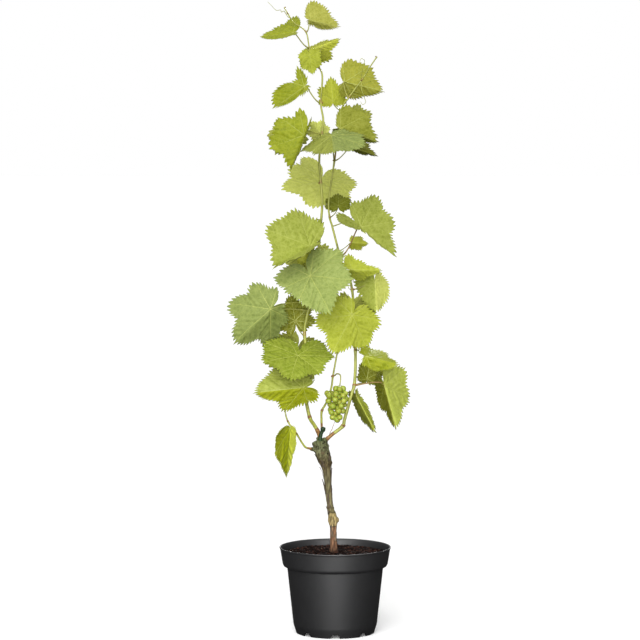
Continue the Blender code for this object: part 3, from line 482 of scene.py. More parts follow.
line = smooth_line(TRUNK_LINE, 4)
line[0, 2] -= TRUNK_SUNK
heap = Heap()
heap.take(stem(line[:, :3], line[:, 3], TRUNK_SIDES))
for *spot, radius in TRUNK_KNOBS:
    heap.take(ball(spot, radius, *KNOB_MESH))
trunk = lay("grafted_trunk", heap, [vine_bark])
knit = trunk.modifiers.new("knit", "REMESH")
knit.mode, knit.voxel_size = "VOXEL", BARK_VOXEL * MM
grown = applied(trunk)
form = bmesh.new()
form.from_mesh(grown)
for _ in range(2):
    bmesh.ops.smooth_vert(form, verts=form.verts, factor=0.5, use_axis_x=True, use_axis_y=True,
                          use_axis_z=True)
form.normal_update()
for spot in form.verts:
    x, y, z = spot.co / MM
    strip = noise.noise(Vector((x / 2.6, y / 2.6, z / 24.0)))
    ridge = noise.noise(Vector((x / 1.3 + 9.0, y / 1.3, z / 13.0)))
    lump = noise.noise(Vector((x / 9.0, y / 9.0, z / 16.0 + 4.0)))
    rough = 0.45 if z < UNION_TOP else 1.0 + max(0.0, (z - KNUCKLES_FROM) / 40.0)
    depth = -abs(strip) * 1.5 + 0.35 + ridge * 0.35 + lump * 1.1
    if z > HEAD_FOOT:
        knuckle = noise.noise(Vector((x / 5.2 + 3.0, y / 5.2, z / 6.0)))
        depth += (1.6 * knuckle - 0.3) * min(1.0, (z - HEAD_FOOT) / 14.0)
    spot.co += spot.normal * (depth * BARK_RELIEF * rough * MM)
form.to_mesh(grown)
form.free()
trunk.data = grown
trunk.data.materials.clear()
trunk.data.materials.append(vine_bark)
trunk.data.shade_smooth()
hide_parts("trunk")

# Loose flakes of last year's bark, still held at one end.  Two long, narrow, dark ones down the
# right-front edge are painted shade.
old_bark = mottled("peeling_bark_and_painted_shade", (700.0, 4.0), ((0.35, "#261e16"), (0.55, "#4b3e2e"), (0.72, "#75674c")),
                   squash=0.12, Roughness=0.9)
heap, rng = Heap(), Random(5)
for row in FLAKES_AND_SHADE_STRIPS:
    heap.take(flake(line, *row, rng))
flakes = lay("bark_flakes_and_painted_shade", heap, [old_bark])


# ----------------------------------------------------------------------------------- Waxed stub
# The cane above the union was cut off and dipped in green grafting wax to seal it.  The wax ran
# into a thick cap over the cut and thins out down the sides.

STUB_LINE = (
    (-25.7, -3.9, 328.9, 3.6), (-25.6, -4, 333.2, 3.4), (-24.4, -4, 339, 3.3), (-22.4, -4, 344, 3.2),
    (-21, -4, 347.5, 4.2), (-20.4, -4, 351, 3.8),
)
STUB_SIDES, STUB_SUNK = 22, 2.0

grafting_wax = mottled("dipped_grafting_wax", (240.0, 3.0),
                       ((0.35, "#0f2012"), (0.52, "#1f3319"), (0.70, "#344424")),
                       Roughness=0.5, IOR=1.44, Specular_IOR_Level=0.3)
line = smooth_line(STUB_LINE, 5)
line[0, 2] -= STUB_SUNK
heap = Heap()
heap.take(stem(line[:, :3], line[:, 3], STUB_SIDES))
for i, p in enumerate(heap.points):
    x, y, z = p / MM
    middle = line[int(np.argmin(np.abs(line[:, 2] - z)))]
    out = np.array((x - middle[0], y - middle[1], 0.0))
    heap.points[i] = p + out * (0.16 * noise.noise(Vector((x / 2.5, y / 2.5, z / 4.0)))) * MM
stub = lay("waxed_stub", heap, [grafting_wax])
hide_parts("stub")


# ----------------------------------------------------------------------------- Shoots, tendrils
# This year's growth: smooth green canes, ripening yellow-olive and browning at each node, where
# a petiole or tendril springs.  They turn a little from node to node and thin towards the tip.

Shoot = namedtuple("Shoot", "base tip line")
SHOOTS = {  # radius (mm) at base and tip; x, y, z (mm) and swelling of each point
    "shoot_tall": Shoot(3.4, 0.8, (
        (-27.2, 5.6, 336.2, 1.15), (-30, 4.8, 344.5, 1.2), (-36, 2, 355, 1), (-43.3, -2, 368, 1.25),
        (-49.8, -5, 398, 0.95), (-52.4, -7, 418, 1), (-43, -9, 431, 1.3), (-42.6, -10, 457, 1),
        (-52, -12, 508, 1.2), (-46, -13, 550, 0.95), (-40.8, -13, 562, 1.3), (-30, -14, 640, 0.95),
        (-25.6, -14, 686, 1.25), (-22.2, -13, 730, 0.95), (-24.3, -12, 765, 1.25),
        (-27.2, -12, 804, 0.95), (-22.6, -11, 848, 1.25), (-20.4, -10, 872, 0.95),
        (-24.4, -9, 900, 1.35), (-22, -9, 945, 0.95), (-28.6, -8, 962, 1.3), (-35, -8, 979, 1),
        (-43.4, -7, 991, 1.4), (-49.6, -6, 1019.5, 1.4), (-69.2, -6, 1034.5, 1.1), (-80, -6, 1050, 1.5),
        (-85.8, -6, 1060, 1.7),
    )),
    "shoot_right": Shoot(3.2, 1.0, (
        (-13.4, 2, 331.5, 1.2), (-4.2, 2, 339.4, 0.95), (12.4, 3, 352.5, 1.35), (16.4, 5, 366, 0.95),
        (28, 10, 407, 0.95), (32.2, 12, 421, 1.3), (34.2, 14, 446, 0.95), (34.4, 15, 481, 1.3),
        (33.6, 15, 520, 0.95), (31.6, 14, 554, 1.3), (28.6, 14, 584, 1.35), (23, 14, 608, 0.95),
        (9.8, 15, 631, 1.35), (5.6, 16, 650, 1), (-5.2, 17, 692, 0.95), (-9.4, 17, 707, 1.35),
        (-11, 17, 735, 0.95), (-1.4, 15, 803, 1.3), (10.2, 12, 886, 1), (22.8, 9, 909.5, 1.35),
        (43.6, 8, 938, 1.4), (58.4, 7, 961, 1.1), (70, 6, 978, 1.5),
    )),
    "shoot_middle": Shoot(2.1, 1.2, (
        (-22.6, 4.4, 345, 1.2), (-23, 4.8, 353, 1.1), (-23.4, 2, 364, 1), (-22.6, -2, 379.5, 1.4),
        (-13.4, -5, 397, 0.95), (-6.4, -8, 421, 0.95), (-4.2, -9, 438, 1.4), (0, -9, 461, 0.95),
        (3.6, -9, 481, 0.95), (8, -8, 512, 1.3), (4, -7, 545, 1.4),
    )),
    "shoot_low": Shoot(2.0, 1.0, (
        (-42, -2, 315, 1.2), (-52, -6, 319, 0.95), (-65.8, -12, 341.5, 1.4), (-80, -14, 362, 1.35),
        (-85.2, -13, 381, 1), (-86, -8, 402, 1.4),
    )),
}
SWOLLEN, BUDDED = 1.15, 1.25  # swellings that make a node, and one with a bud
BUDS_FROM = 345.0  # mm, height of the lowest bud
TENDRIL_RADIUS, TENDRIL_SIDES = 0.55, 7
TENDRILS = (
    ("shoot_tall", ((-74, -6, 1041.6), (-80, -8, 1045), (-86, -12, 1053.5), (-90.5, -16, 1052),
                    (-92, -17, 1055.5), (-99.5, -19, 1055), (-107, -20, 1062.5), (-113.5, -20, 1069))),
    ("shoot_tall", ((-30.4, -8, 967), (-27, -6, 982), (-21.5, -4, 995), (-18.8, -3, 1007))),
    ("shoot_right", ((43.6, 8, 938), (45.4, -3, 957), (49, -7, 971), (43.5, -9, 974.5), (41, -9, 969.5))),
    ("shoot_right", ((43.6, 8, 938), (44.5, -2, 922), (48, -4, 911), (51, -5, 902), (46, -6, 897.5),
                     (42.5, -5, 902.5))),
    ("shoot_right", ((28.6, 14, 584), (24, 8, 586), (21, 4, 592))),
    ("shoot_right", ((-10.5, 2, 334), (-8.5, -2, 342.5), (-5.5, -4, 348.5), (-3, -5, 355.5),
                     (-0.5, -6, 362))),
)
RIPE_TENDRIL_BELOW = 340.0  # mm
CANE_SIDES, CANE_BETWEEN = 12, 5
CANE_SUNK = 1.6  # mm into the wood it springs from
BUD_MESH = (10, 7)
NODE_REACH = 2.6  # mm that a node's swelling runs along the cane
NODE_SKIN = 1.5  # mm of browner skin either side of it
RIPE_RUN = {"shoot_low": 7.0}  # mm of ripe skin where a shoot leaves old wood, if not RIPE_START
RIPE_START = 13.0
RIPE_TO = 440.0  # mm, the highest ripe node


def cane_line(shoot):
    """A shoot's middle line (mm), radii, each point's gap to a node, and its run from the base."""
    rows = smooth_line(shoot.line, CANE_BETWEEN)
    run = np.concatenate(([0.0], np.cumsum(norm(np.diff(rows[:, :3], axis=0), axis=1))))
    radii = shoot.base + (shoot.tip - shoot.base) * np.arange(len(rows)) / (len(rows) - 1)
    near = np.full(len(rows), 99.0)
    for i, row in enumerate(shoot.line):
        if row[3] > SWOLLEN:
            gap = np.abs(run - run[i * (CANE_BETWEEN + 1)])
            radii = radii * (1.0 + (row[3] - 1.0) * np.exp(-(gap / NODE_REACH) ** 2))
            near = np.minimum(near, gap)
    return rows[:, :3], radii, near, run


# Green cane has a thin waxy skin with fine ribs along it.  At the lower nodes, and where a shoot
# leaves old wood, the skin is ripe, red-brown and drier, and at the higher nodes it is still olive.
green_cane = mottled("green_cane_skin", (650.0, 3.0),
                     ((0.30, "#75782a"), (0.52, "#9ca044"), (0.72, "#b6b85a")), squash=0.08, Roughness=0.45)
ripe_cane = mottled("ripened_cane_skin", (500.0, 3.0),
                    ((0.30, "#5d3d22"), (0.55, "#86602f"), (0.75, "#9d7d3f")), Roughness=0.62)
young_node = mottled("young_node_skin", (500.0, 3.0),
                     ((0.30, "#7c6a30"), (0.55, "#988844"), (0.75, "#aaa050")), Roughness=0.50)

cane_lines = {}
for name, shoot in SHOOTS.items():
    line, radii, near, run = cane_line(shoot)
    line[0] -= (line[1] - line[0]) / norm(line[1] - line[0]) * CANE_SUNK
    cane_lines[name] = (line, radii)
    ripe = (near[:-1] < NODE_SKIN) | (run[:-1] < RIPE_RUN.get(name, RIPE_START))
    finish = np.where(line[:-1, 2] > RIPE_TO, 2, 1) * ripe
    heap = Heap()
    heap.take(stem(line, radii, CANE_SIDES), np.repeat(finish, CANE_SIDES).tolist() + [1] * (2 * CANE_SIDES))
    for carrier, route in TENDRILS:
        if carrier == name:
            way = smooth_line(route, 6)
            thin = np.linspace(1.25, 0.55, len(way)) * TENDRIL_RADIUS
            heap.take(stem(way, thin, TENDRIL_SIDES), int(route[0][2] < RIPE_TENDRIL_BELOW))
    for i, (x, y, z, swell) in enumerate(shoot.line):
        if swell >= BUDDED and z > BUDS_FROM:
            # A plump bud sits in each leaf's axil, under two brown scales.
            spot = i * (CANE_BETWEEN + 1)
            turn = 2.4 * i + 0.6
            away = np.array((cos(turn), sin(turn), 0.3)) * radii[spot]
            heap.take(ball(line[spot] + away * 1.15, 0.42 * radii[spot] + 0.55, *BUD_MESH), 1)
    cane = lay(name.replace("shoot", "cane"), heap, [green_cane, ripe_cane, young_node])
    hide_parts(name)


# ---------------------------------------------------------------------------------------- Leaves
# Five-lobed, saw-toothed blades under a millimetre thick, each on a petiole.  Pale veins run
# to the lobe tips and branch, proud of the underside, and the blade puckers up between them.
# Young leaves are yellow-green and grown ones greyer.  Leaves and folded halves in shade get darker
# greens as painted shade, and some that fall in another's shadow get lighter ones as painted light.

MARGIN = (  # angle from the midrib (deg), reach, and dip of a lobed leaf there
    (0, 1.00, 0.00), (14, 0.92, 0.06), (27, 0.86, 0.15), (40, 0.87, 0.05), (52, 0.88, 0.00),
    (66, 0.81, 0.05), (78, 0.77, 0.13), (91, 0.76, 0.04), (105, 0.75, 0.00), (128, 0.65, 0.09),
    (150, 0.56, 0.00), (170, 0.38, 0.04), (180, 0.10, 0.00),
)
MARGIN_CURVE = smooth_line(MARGIN, 6).T
GROWTH_ANGLES = (-150, -128, -105, -78, -52, -26, 0, 26, 52, 78, 105, 128, 150)
BASE_FROM = 90  # degrees past which the blade's base may be fuller or narrower
BASE_ALL = 140
DOME = 0.10  # how far the whole blade bows back
RIPPLES = 5  # waves round the margin
RIPPLE_DEPTH = 0.045  # of the midrib's length
FRILLS, FRILL_DEPTH = 11.0, 0.016  # finer waves nearer the margin
PETIOLE_SIDES = 8
PETIOLE_RADIUS = 1.15  # mm, on a full-grown leaf
PETIOLE_RISE = 0.2  # how steeply it leaves the shoot
PETIOLE_BOW = 0.35  # of the way to the blade
CREASE = 0.02  # of the midrib's length, rounding of the fold along it
RIM_THINNING = 0.55  # how much thinner its rim is
THIN = 0.010  # blade thickness, of the midrib's length
TOOTH_DEPTH = 0.062  # of the midrib's length, on a full-grown leaf
TOOTH_BAND = 0.20  # outer share of the blade in which the teeth rise
CUT_GROWN = 80.0  # mm of midrib from which the teeth are cut no deeper
YOUNG_TEETH = 0.80  # how much deeper a shorter leaf is cut
CLIMBING_TOOTH = (0.6, 0.25, -0.5, -0.15, 0.25)  # how far its columns stand out
FALLING_TOOTH = (0.6, 0.25, -0.15, -0.5, 0.25)
BIG_TOOTH, SMALL_TOOTH = 1.2, 0.85  # they take turns
LARGE, GROWN = 70.0, 45.0  # mm of midrib from which a blade has more teeth and a finer mesh
TEETH = (32, 22, 16)  # on each half of a large, a grown and a young leaf
FINE_RINGS = tuple((0.03 + 0.05 * k, 8 if k < 2 else 4) for k in range(5)) + tuple(
    (0.27 + 0.04 * k, 2) for k in range(14)) + ((0.83, 1), (0.88, 1), (0.92, 1), (0.96, 1), (1.0, 1))
YOUNG_RINGS = tuple((0.05 + 0.08 * k, 8 if k < 2 else 4) for k in range(4)) + tuple(
    (0.36 + 0.07 * k, 2) for k in range(7)) + ((0.86, 1), (0.93, 1), (1.0, 1))
PUCKER, PUCKER_REACH = 0.0252, 0.05  # height between veins, and how soon it is reached
MAIN_VEINS = (0.0, 52.0, 105.0, 150.0)
VEIN_BOUNDS = ((-26.0, 26.0), (26.0, 78.0), (78.0, 128.0), (128.0, 175.0))
BRANCH_SHARES = (0.17, 0.34, 0.50, 0.66, 0.82)
MAIN_WIDTH, BRANCH_WIDTH = (1.7, 0.5), (0.8, 0.3)  # mm at each end, on a full-grown leaf
VEIN_STEP, VEIN_STEPS = 0.05, 16  # of the midrib, and at most, along a branch vein
VEIN_LET_IN = 0.3  # mm that a vein's sides lie inside the blade
VEINED = 84.0  # mm of midrib at which the veins are full-grown
FIRST_SEED = 700
IN_A_PIECE = 8  # leaves joined in one piece at most

# Where it leaves its shoot (mm up) and joins its blade (mm), its midrib's length (mm), heading and
# lean (deg), the fold of each half (deg), and its kind.  Then come the finish of its face and of
# its clockwise half where those differ from the kind's, which way it faces, how lobed it is, how
# full its base is, and how far (%) its margin has grown at each of GROWTH_ANGLES.
Leaf = namedtuple("Leaf", "shoot foot junction length heading lean halves tint "
                          "skin half face lobing base grown",
                  defaults=(None, None, 1, 0.8, 1.0, (100,) * len(GROWTH_ANGLES)))
# The face and half finishes carry painted light: lighter greens on leaves and halves that fall in shadow,
# darker ones on those in shade.
LEAVES = {
    "tall_01": Leaf("tall", 1019, (-42, -4, 1039), 49, 102, 0, (-36, -40), "bright", "fresh", lobing=0.4,
        base=0.5, grown=(90, 100, 115, 112, 86, 93, 100, 72, 28, 28, 30, 30, 45)),
    "tall_02": Leaf("tall", 992, (-71, -20, 1018), 53, 262, 5, (72, -62), "bright", "deep", base=0.9,
        grown=(30, 30, 40, 55, 76, 130, 100, 95, 75, 105, 160, 75, 30)),
    "tall_03": Leaf("tall", 968, (-41, 14, 989), 52, 68, 0, (-78, -40), "bright", "painted_light",
        grown=(55, 60, 80, 100, 100, 100, 100, 90, 92, 90, 100, 100, 100)),
    "tall_04": Leaf("tall", 958, (-43, -20, 977), 29, 170, 0, (30, 30), "bright", "lime", lobing=0.5),
    "tall_05": Leaf("tall", 900, (-52, -16, 928), 62, 235, 0, (-10, -15), "bright", "deep", lobing=0.5,
        grown=(25, 20, 20, 20, 22, 35, 100, 108, 42, 39, 76, 51, 30)),
    "tall_06": Leaf("tall", 848, (-52, -26, 846), 65, 201, 8, (86, -5), "bright", "deep", base=0.9,
        grown=(100, 100, 100, 100, 100, 100, 93, 100, 105, 120, 105, 100, 140)),
    "tall_07": Leaf("tall", 848, (-26, 10, 850), 25, 320, 0, (-10, -10), "under", "hazy_painted_light", face=-1),
    "tall_08": Leaf("tall", 804, (-24, 84, 767), 80, 197, 54, (8, 0), "mature", "hazy_painted_light", base=1.25,
        grown=(100, 100, 95, 100, 100, 100, 85, 100, 107, 100, 92, 100, 140)),
    "tall_09": Leaf("tall", 686, (-42, -48, 660), 84, 240, 28, (84, 0), "mature",
        grown=(30, 35, 45, 70, 100, 100, 90, 110, 106, 120, 100, 103, 105)),
    "tall_10": Leaf("tall", 640, (-42, -76, 612), 84, 151, 42, (4, -8), "mature", "grey", lobing=0.6,
        base=0.9, grown=(125, 120, 110, 100, 100, 100, 100, 90, 60, 75, 80, 150, 130)),
    "tall_11": Leaf("tall", 562, (-109, -45, 555), 82, 226, 0, (-34, -20), "mature", "slate", lobing=1.4,
        base=0.8, grown=(70, 65, 65, 85, 100, 108, 100, 115, 100, 100, 87, 100, 100)),
    "tall_12": Leaf("tall", 508, (-68, 6, 532), 46, 350, 0, (-10, -5), "under", "olive", face=-1,
        lobing=1.2),
    "tall_13": Leaf("tall", 457, (-63, -64, 478), 74, 196, 59, (10, 0), "mature", "moss", base=1.3,
        grown=(125, 110, 100, 100, 85, 100, 85, 100, 100, 115, 100, 100, 100)),
    "tall_14": Leaf("tall", 431, (-54, -66, 425), 80, 264, 10, (-30, -40), "bright", half="mature",
        grown=(65, 80, 50, 66, 76, 82, 100, 110, 78, 70, 60, 50, 50)),
    "tall_15": Leaf("tall", 550, (-122, -10, 541), 42, 182, 0, (-10, -10), "bright"),
    "tall_16": Leaf("tall", 665, (-50, 8, 650), 26, 205, 0, (-10, -10), "bright", "painted_light"),
    "right_01": Leaf("right", 909, (16, 24, 936), 66, 104, 0, (-38, -30), "under", face=-1, lobing=0.2,
        base=0.15, grown=(100, 100, 110, 105, 100, 100, 100, 76, 60, 58, 55, 60, 70)),
    "right_02": Leaf("right", 886, (-4, 68, 905), 40, 355, 0, (-35, -35), "bright", "painted_light", base=0.5),
    "right_03": Leaf("right", 886, (8, -36, 857), 66, 109, 0, (-34, -75), "mature", "khaki", lobing=0.5,
        base=0.3, grown=(100, 100, 105, 100, 100, 100, 100, 100, 95, 86, 86, 90, 50)),
    "right_04": Leaf("right", 803, (-7, -72, 845), 74, 172, 71, (-6, -18), "mature", "slate", "calm",
        base=0.6, grown=(160, 120, 100, 100, 100, 120, 100, 100, 70, 100, 120, 110, 100)),
    "right_05": Leaf("right", 707, (5, 30, 727), 30, 0, -45, (0, 0), "shade"),
    "right_06": Leaf("right", 640, (43, -10, 692), 78, 131, 0, (-26, 66), "mature",
        grown=(100, 100, 108, 100, 87, 93, 97, 25, 20, 25, 40, 130, 120)),
    "right_07": Leaf("right", 650, (30, 28, 664), 26, 95, 0, (-55, -48), "shade", "painted_light", base=0.5),
    "right_08": Leaf("right", 608, (28, -22, 620), 50, 92, 0, (-52, -40), "lime", "lime", base=0.7,
        grown=(100, 100, 115, 80, 60, 75, 100, 80, 65, 65, 75, 100, 100)),
    "right_09": Leaf("right", 584, (67, 6, 597), 50, 178, 15, (-36, -26), "mature", "hazy_painted_light", "mature",
        lobing=0.5, grown=(80, 70, 68, 85, 78, 100, 100, 100, 72, 100, 100, 100, 100)),
    "right_10": Leaf("right", 554, (28, -34, 545), 73, 207, 0, (-20, -16), "lime", lobing=0.7, base=0.7),
    "right_11": Leaf("right", 481, (52, -50, 476), 55, 105, 0, (-72, -10), "lime", "deep", base=0.5,
        grown=(100, 100, 100, 100, 100, 100, 100, 88, 50, 42, 42, 38, 40)),
    "right_12": Leaf("right", 421, (83, -8, 424), 76, 165, 0, (-44, -70), "mature", "pale", "olive",
        base=0.9, grown=(85, 100, 100, 100, 88, 100, 100, 95, 90, 90, 60, 60, 75)),
    "right_13": Leaf("right", 421, (55, 60, 428), 38, 10, 0, (-50, -10), "under", "olive", face=-1,
        base=0.5),
    "right_14": Leaf("right", 407, (37, 30, 400), 67, 152, 0, (-70, -76), "shade", "lime", base=0.3,
        grown=(100, 100, 30, 35, 40, 80, 100, 125, 115, 100, 100, 100, 100)),
    "right_15": Leaf("right", 803, (28, 24, 826), 44, 109, 0, (-60, -80), "shade", "olive", base=0.5),
    "low_01": Leaf("low", 352, (-77, -22, 350), 83, 184, 0, (62, 64), "bright", "painted_light", "bright",
        lobing=0.2, base=0.3, grown=(40, 40, 40, 42, 47, 66, 100, 92, 87, 89, 45, 40, 40)),
    "back_01": Leaf("right", 631, (-38, 62, 629), 68, 184, 10, (-15, -15), "mature", "hazy_painted_light", face=-1),
    "back_02": Leaf("right", 520, (26, 62, 546), 60, 190, 10, (-15, -15), "mature", "hazy_painted_light", face=-1),
    "back_03": Leaf("tall", 457, (-66, 44, 478), 64, 200, 10, (-15, -15), "mature", face=-1),
    "back_04": Leaf("tall", 703, (-60, 32, 680), 48, 235, 10, (-15, -15), "mature", face=-1),
    "back_05": Leaf("right", 692, (55, 38, 713), 32, 110, 10, (-15, -15), "bright", face=-1),
    "back_06": Leaf("right", 886, (30, 44, 873), 38, 120, 10, (-15, -15), "bright", face=-1),
    "back_07": Leaf("tall", 848, (-76, 18, 850), 44, 215, 10, (-15, -15), "bright", face=-1),
}
LEAF_SKINS = {  # hard bluish green on grown leaves, soft lime on the youngest
    "mature": ("mature_leaf_skin", "#747e28", "#88913a", "#9aa24e", 0.52),
    "bright": ("bright_leaf_skin", "#76800a", "#8a9214", "#9ca22a", 0.50),
    "deep": ("deep_leaf_skin", "#687312", "#7c8518", "#909628", 0.52),
    "moss": ("mossy_leaf_skin", "#5b6a16", "#6f7c22", "#838d36", 0.52),
    "pale": ("paler_leaf_skin", "#858f33", "#99a342", "#abb456", 0.54),
    "slate": ("dusky_leaf_skin", "#616f34", "#758142", "#86914f", 0.56),
    # Partly painted shade: this darker green is also put on leaves behind others and on a folded half that
    # lies in shade.
    "olive": ("olive_leaf_skin", "#565b10", "#696d16", "#7f802c", 0.54),
    "khaki": ("khaki_leaf_skin", "#636917", "#767b26", "#8a8d3a", 0.54),
    "grey": ("greyed_leaf_skin", "#697839", "#7d8a48", "#8f9a58", 0.55),
    "calm": ("calm_leaf_skin", "#697128", "#7d8436", "#909648", 0.54),
    "lime": ("lime_leaf_skin", "#858e22", "#98a034", "#a9b044", 0.50),
    # Painted light: a lighter green put on leaves that fall in shadow, to lift them.
    "painted_light": ("painted_light_leaf_skin", "#9aa22c", "#aeb43c", "#bec24c", 0.52),
    # Painted light as well: a lighter, bluer green for leaves that lie in shadow.
    "hazy_painted_light": ("hazy_painted_light_leaf_skin", "#9ba244", "#aeb456", "#bdc266", 0.54),
    "fresh": ("fresh_leaf_skin", "#7d8028", "#90913c", "#a2a24e", 0.50),
    "shade": ("shaded_leaf_skin", "#4c5210", "#5c6210", "#707522", 0.55),
    "under": ("pale_leaf_underside", "#787a20", "#8a8b2f", "#9a9a40", 0.62),
    "lower": ("downy_leaf_underside", "#7b8030", "#8b903e", "#9a9e4c", 0.66),
}
NET_SCALE, CELL_SCALE = 150.0, 420.0  # meshes of fine veins, and skin cells, in a metre


def leaf_skin(name, dark, middle, pale, roughness):
    """A leaf finish: soft mottling, a paler net of fine veins over it, and a waxy, cellular skin."""
    finish = mottled(name, (95.0, 5.0, 0.7), ((0.25, dark), (0.50, middle), (0.75, pale)),
                     Roughness=roughness, Specular_IOR_Level=0.10)
    tree = finish.node_tree
    where = tree.nodes["Texture Coordinate"].outputs["Object"]
    tone = tree.nodes["Color Ramp"].outputs["Color"]
    fields = add(tree, "TexVoronoi", {"Vector": where, "Scale": NET_SCALE}, feature="DISTANCE_TO_EDGE")
    net = add(tree, "MapRange", {"Value": fields.outputs["Distance"], 1: 0.0, 2: 0.16, 3: 0.55, 4: 0.0})
    netted = add(tree, "Mix", {"Factor": net.outputs["Result"], 6: tone, 7: linear(pale)}, data_type="RGBA")
    tree.links.new(netted.outputs[2], tree.nodes["Principled BSDF"].inputs["Base Color"])
    cells = add(tree, "TexVoronoi", {"Vector": where, "Scale": CELL_SCALE})
    emboss(finish, cells.outputs["Distance"], 0.25, 0.0005)
    return finish


def cord_skin(name, dark, pale, roughness):
    """A finish for veins and petioles: juicy, slightly streaked green."""
    return mottled(name, (160.0, 3.0), ((0.35, dark), (0.68, pale)), Roughness=roughness)


leaf_finishes = {key: leaf_skin(*row) for key, row in LEAF_SKINS.items()}
leaf_finishes["vein"] = cord_skin("pale_main_vein", "#9da44a", "#b2b662", 0.55)
leaf_finishes["veinlet"] = cord_skin("branch_vein", "#848d3a", "#989f4a", 0.55)
leaf_finishes["petiole"] = cord_skin("green_petiole", "#7c7f2a", "#9a9a44", 0.45)
leaf_finishes["flushed"] = cord_skin("flushed_petiole", "#82643a", "#9c8250", 0.45)


def blade_axes(leaf):
    """Unit vectors clockwise across the blade, along its midrib, and forward."""
    heading, lean = radians(leaf.heading), radians(leaf.lean)
    along = np.array((sin(heading) * cos(lean), -sin(lean), cos(heading) * cos(lean)))
    forward = np.array((0.0, -1.0, 0.0)) + along * along[1]
    forward /= norm(forward)
    return np.cross(along, forward), along, forward


def margin(leaf, angles):
    """Reach of this leaf's margin, without its teeth, at angles (deg) from its midrib."""
    at, plain, dip = MARGIN_CURVE
    reach = np.interp(np.abs(angles), at, plain - dip * leaf.lobing)
    share = np.clip((np.abs(angles) - BASE_FROM) / (BASE_ALL - BASE_FROM), 0.0, 1.0)
    return reach * (1.0 + (leaf.base - 1.0) * share) * np.interp(
        angles, GROWTH_ANGLES, np.array(leaf.grown) / 100)


def on_blade(leaf, angles, reaches, phase):
    """Where the blade's middle lies (mm), reaches from its junction at angles from the midrib."""
    across, along, forward = blade_axes(leaf)
    a = np.radians(angles)
    side = reaches * np.sin(a)
    turn = np.radians(np.where(side > 0.0, leaf.halves[1], leaf.halves[0]))
    rise = (np.sqrt(side ** 2 + CREASE ** 2) - CREASE) * np.sin(turn)
    rise = rise - leaf.face * DOME * reaches ** 2
    rise = rise + RIPPLE_DEPTH * reaches ** 2 * np.sin(RIPPLES * a + phase)
    rise = rise + FRILL_DEPTH * reaches ** 3 * np.sin(FRILLS * a + 2.0 * phase)
    spot = (np.multiply.outer(side * np.cos(turn), across) + np.multiply.outer(reaches * np.cos(a), along)
            + np.multiply.outer(rise, forward))
    return np.array(leaf.junction) + spot * leaf.length


def blade_normals(leaf, angles, reaches, phase):
    """The blade's forward normal at the same places."""
    reaches = np.maximum(reaches, 0.02)
    outward = on_blade(leaf, angles, reaches + 0.01, phase) - on_blade(leaf, angles, reaches - 0.01, phase)
    round_it = on_blade(leaf, angles + 1.5, reaches, phase) - on_blade(leaf, angles - 1.5, reaches, phase)
    normals = np.cross(round_it, outward)
    normals /= np.maximum(norm(normals, axis=1), 1e-9)[:, None]
    turned = np.sign(normals @ blade_axes(leaf)[2])
    return normals * np.where(turned == 0.0, 1.0, turned)[:, None]


def tooth_columns(leaf, rng):
    """Angles (deg) of the blade's outer columns and how far each stands out for its tooth."""
    teeth = TEETH[(leaf.length < LARGE) + (leaf.length < GROWN)]
    dense = np.linspace(0.0, 180.0, 721)
    angles, stand = [], []
    for half in (1.0, -1.0):
        reach = margin(leaf, half * dense)
        x, y = reach * np.sin(np.radians(dense)), reach * np.cos(np.radians(dense))
        run = np.concatenate(([0.0], np.cumsum(np.hypot(np.diff(x), np.diff(y)))))
        slope = np.gradient(reach, dense)
        widths = np.array([rng.uniform(0.75, 1.25) for _ in range(teeth)])
        edges = np.concatenate(([0.0], np.cumsum(widths))) / widths.sum() * run[-1]
        half_angles, half_stand = [], []
        for i in range(teeth):
            size = (SMALL_TOOTH if i % 2 else BIG_TOOTH) * rng.uniform(0.75, 1.2)
            here = np.interp(0.5 * (edges[i] + edges[i + 1]), run, dense)
            size *= 1.0 + 0.25 * max(exp(-((here - a) / 5.0) ** 2) for a in MAIN_VEINS)
            size *= min(1.0, max(0.0, (168.0 - here) / 10.0))
            tooth = CLIMBING_TOOTH if np.interp(here, dense, slope) > 0.0 else FALLING_TOOTH
            for j, out in enumerate(tooth):
                at = edges[i] + (edges[i + 1] - edges[i]) * j / len(tooth)
                half_angles.append(half * np.interp(at, run, dense))
                half_stand.append(size * out)
        if half > 0.0:
            angles, stand = half_angles + [180.0], half_stand + [0.0]
        else:
            angles += half_angles[:0:-1]
            stand += half_stand[:0:-1]
    return np.array(angles), np.array(stand)


def vein_lines(leaf, rng):
    """Veins in the flat blade: x and y (of the midrib's length) and the width at each end (mm)."""
    veins = []
    for half in (1.0, -1.0):
        for angle, (low, high) in zip(MAIN_VEINS, VEIN_BOUNDS):
            share = np.linspace(0.0, 1.0, 15)
            bow = rng.uniform(-2.5, 2.5)
            a = np.radians(angle + bow * np.sin(pi * share))
            r = share * float(margin(leaf, half * angle)) * 0.99
            x, y = r * np.sin(a), r * np.cos(a)
            if angle or half > 0.0:
                veins.append((half * x, y, *MAIN_WIDTH))
            for side in (-1.0, 1.0) if angle else (1.0,):
                for start in BRANCH_SHARES:
                    start += rng.uniform(-0.03, 0.03) + (0.06 if side > 0.0 else 0.0)
                    bx, by = [np.interp(start, share, x)], [np.interp(start, share, y)]
                    leave = rng.uniform(46.0, 56.0)
                    for step in range(VEIN_STEPS):
                        way = radians(angle + side * (leave - 1.6 * step))
                        nx, ny = bx[-1] + VEIN_STEP * sin(way), by[-1] + VEIN_STEP * cos(way)
                        at = degrees(atan2(nx, ny))
                        if not low < at < high or hypot(nx, ny) > 0.95 * float(margin(leaf, half * at)):
                            break
                        bx.append(nx)
                        by.append(ny)
                    if len(bx) > 2:
                        veins.append((half * np.array(bx), np.array(by), *BRANCH_WIDTH))
    return veins


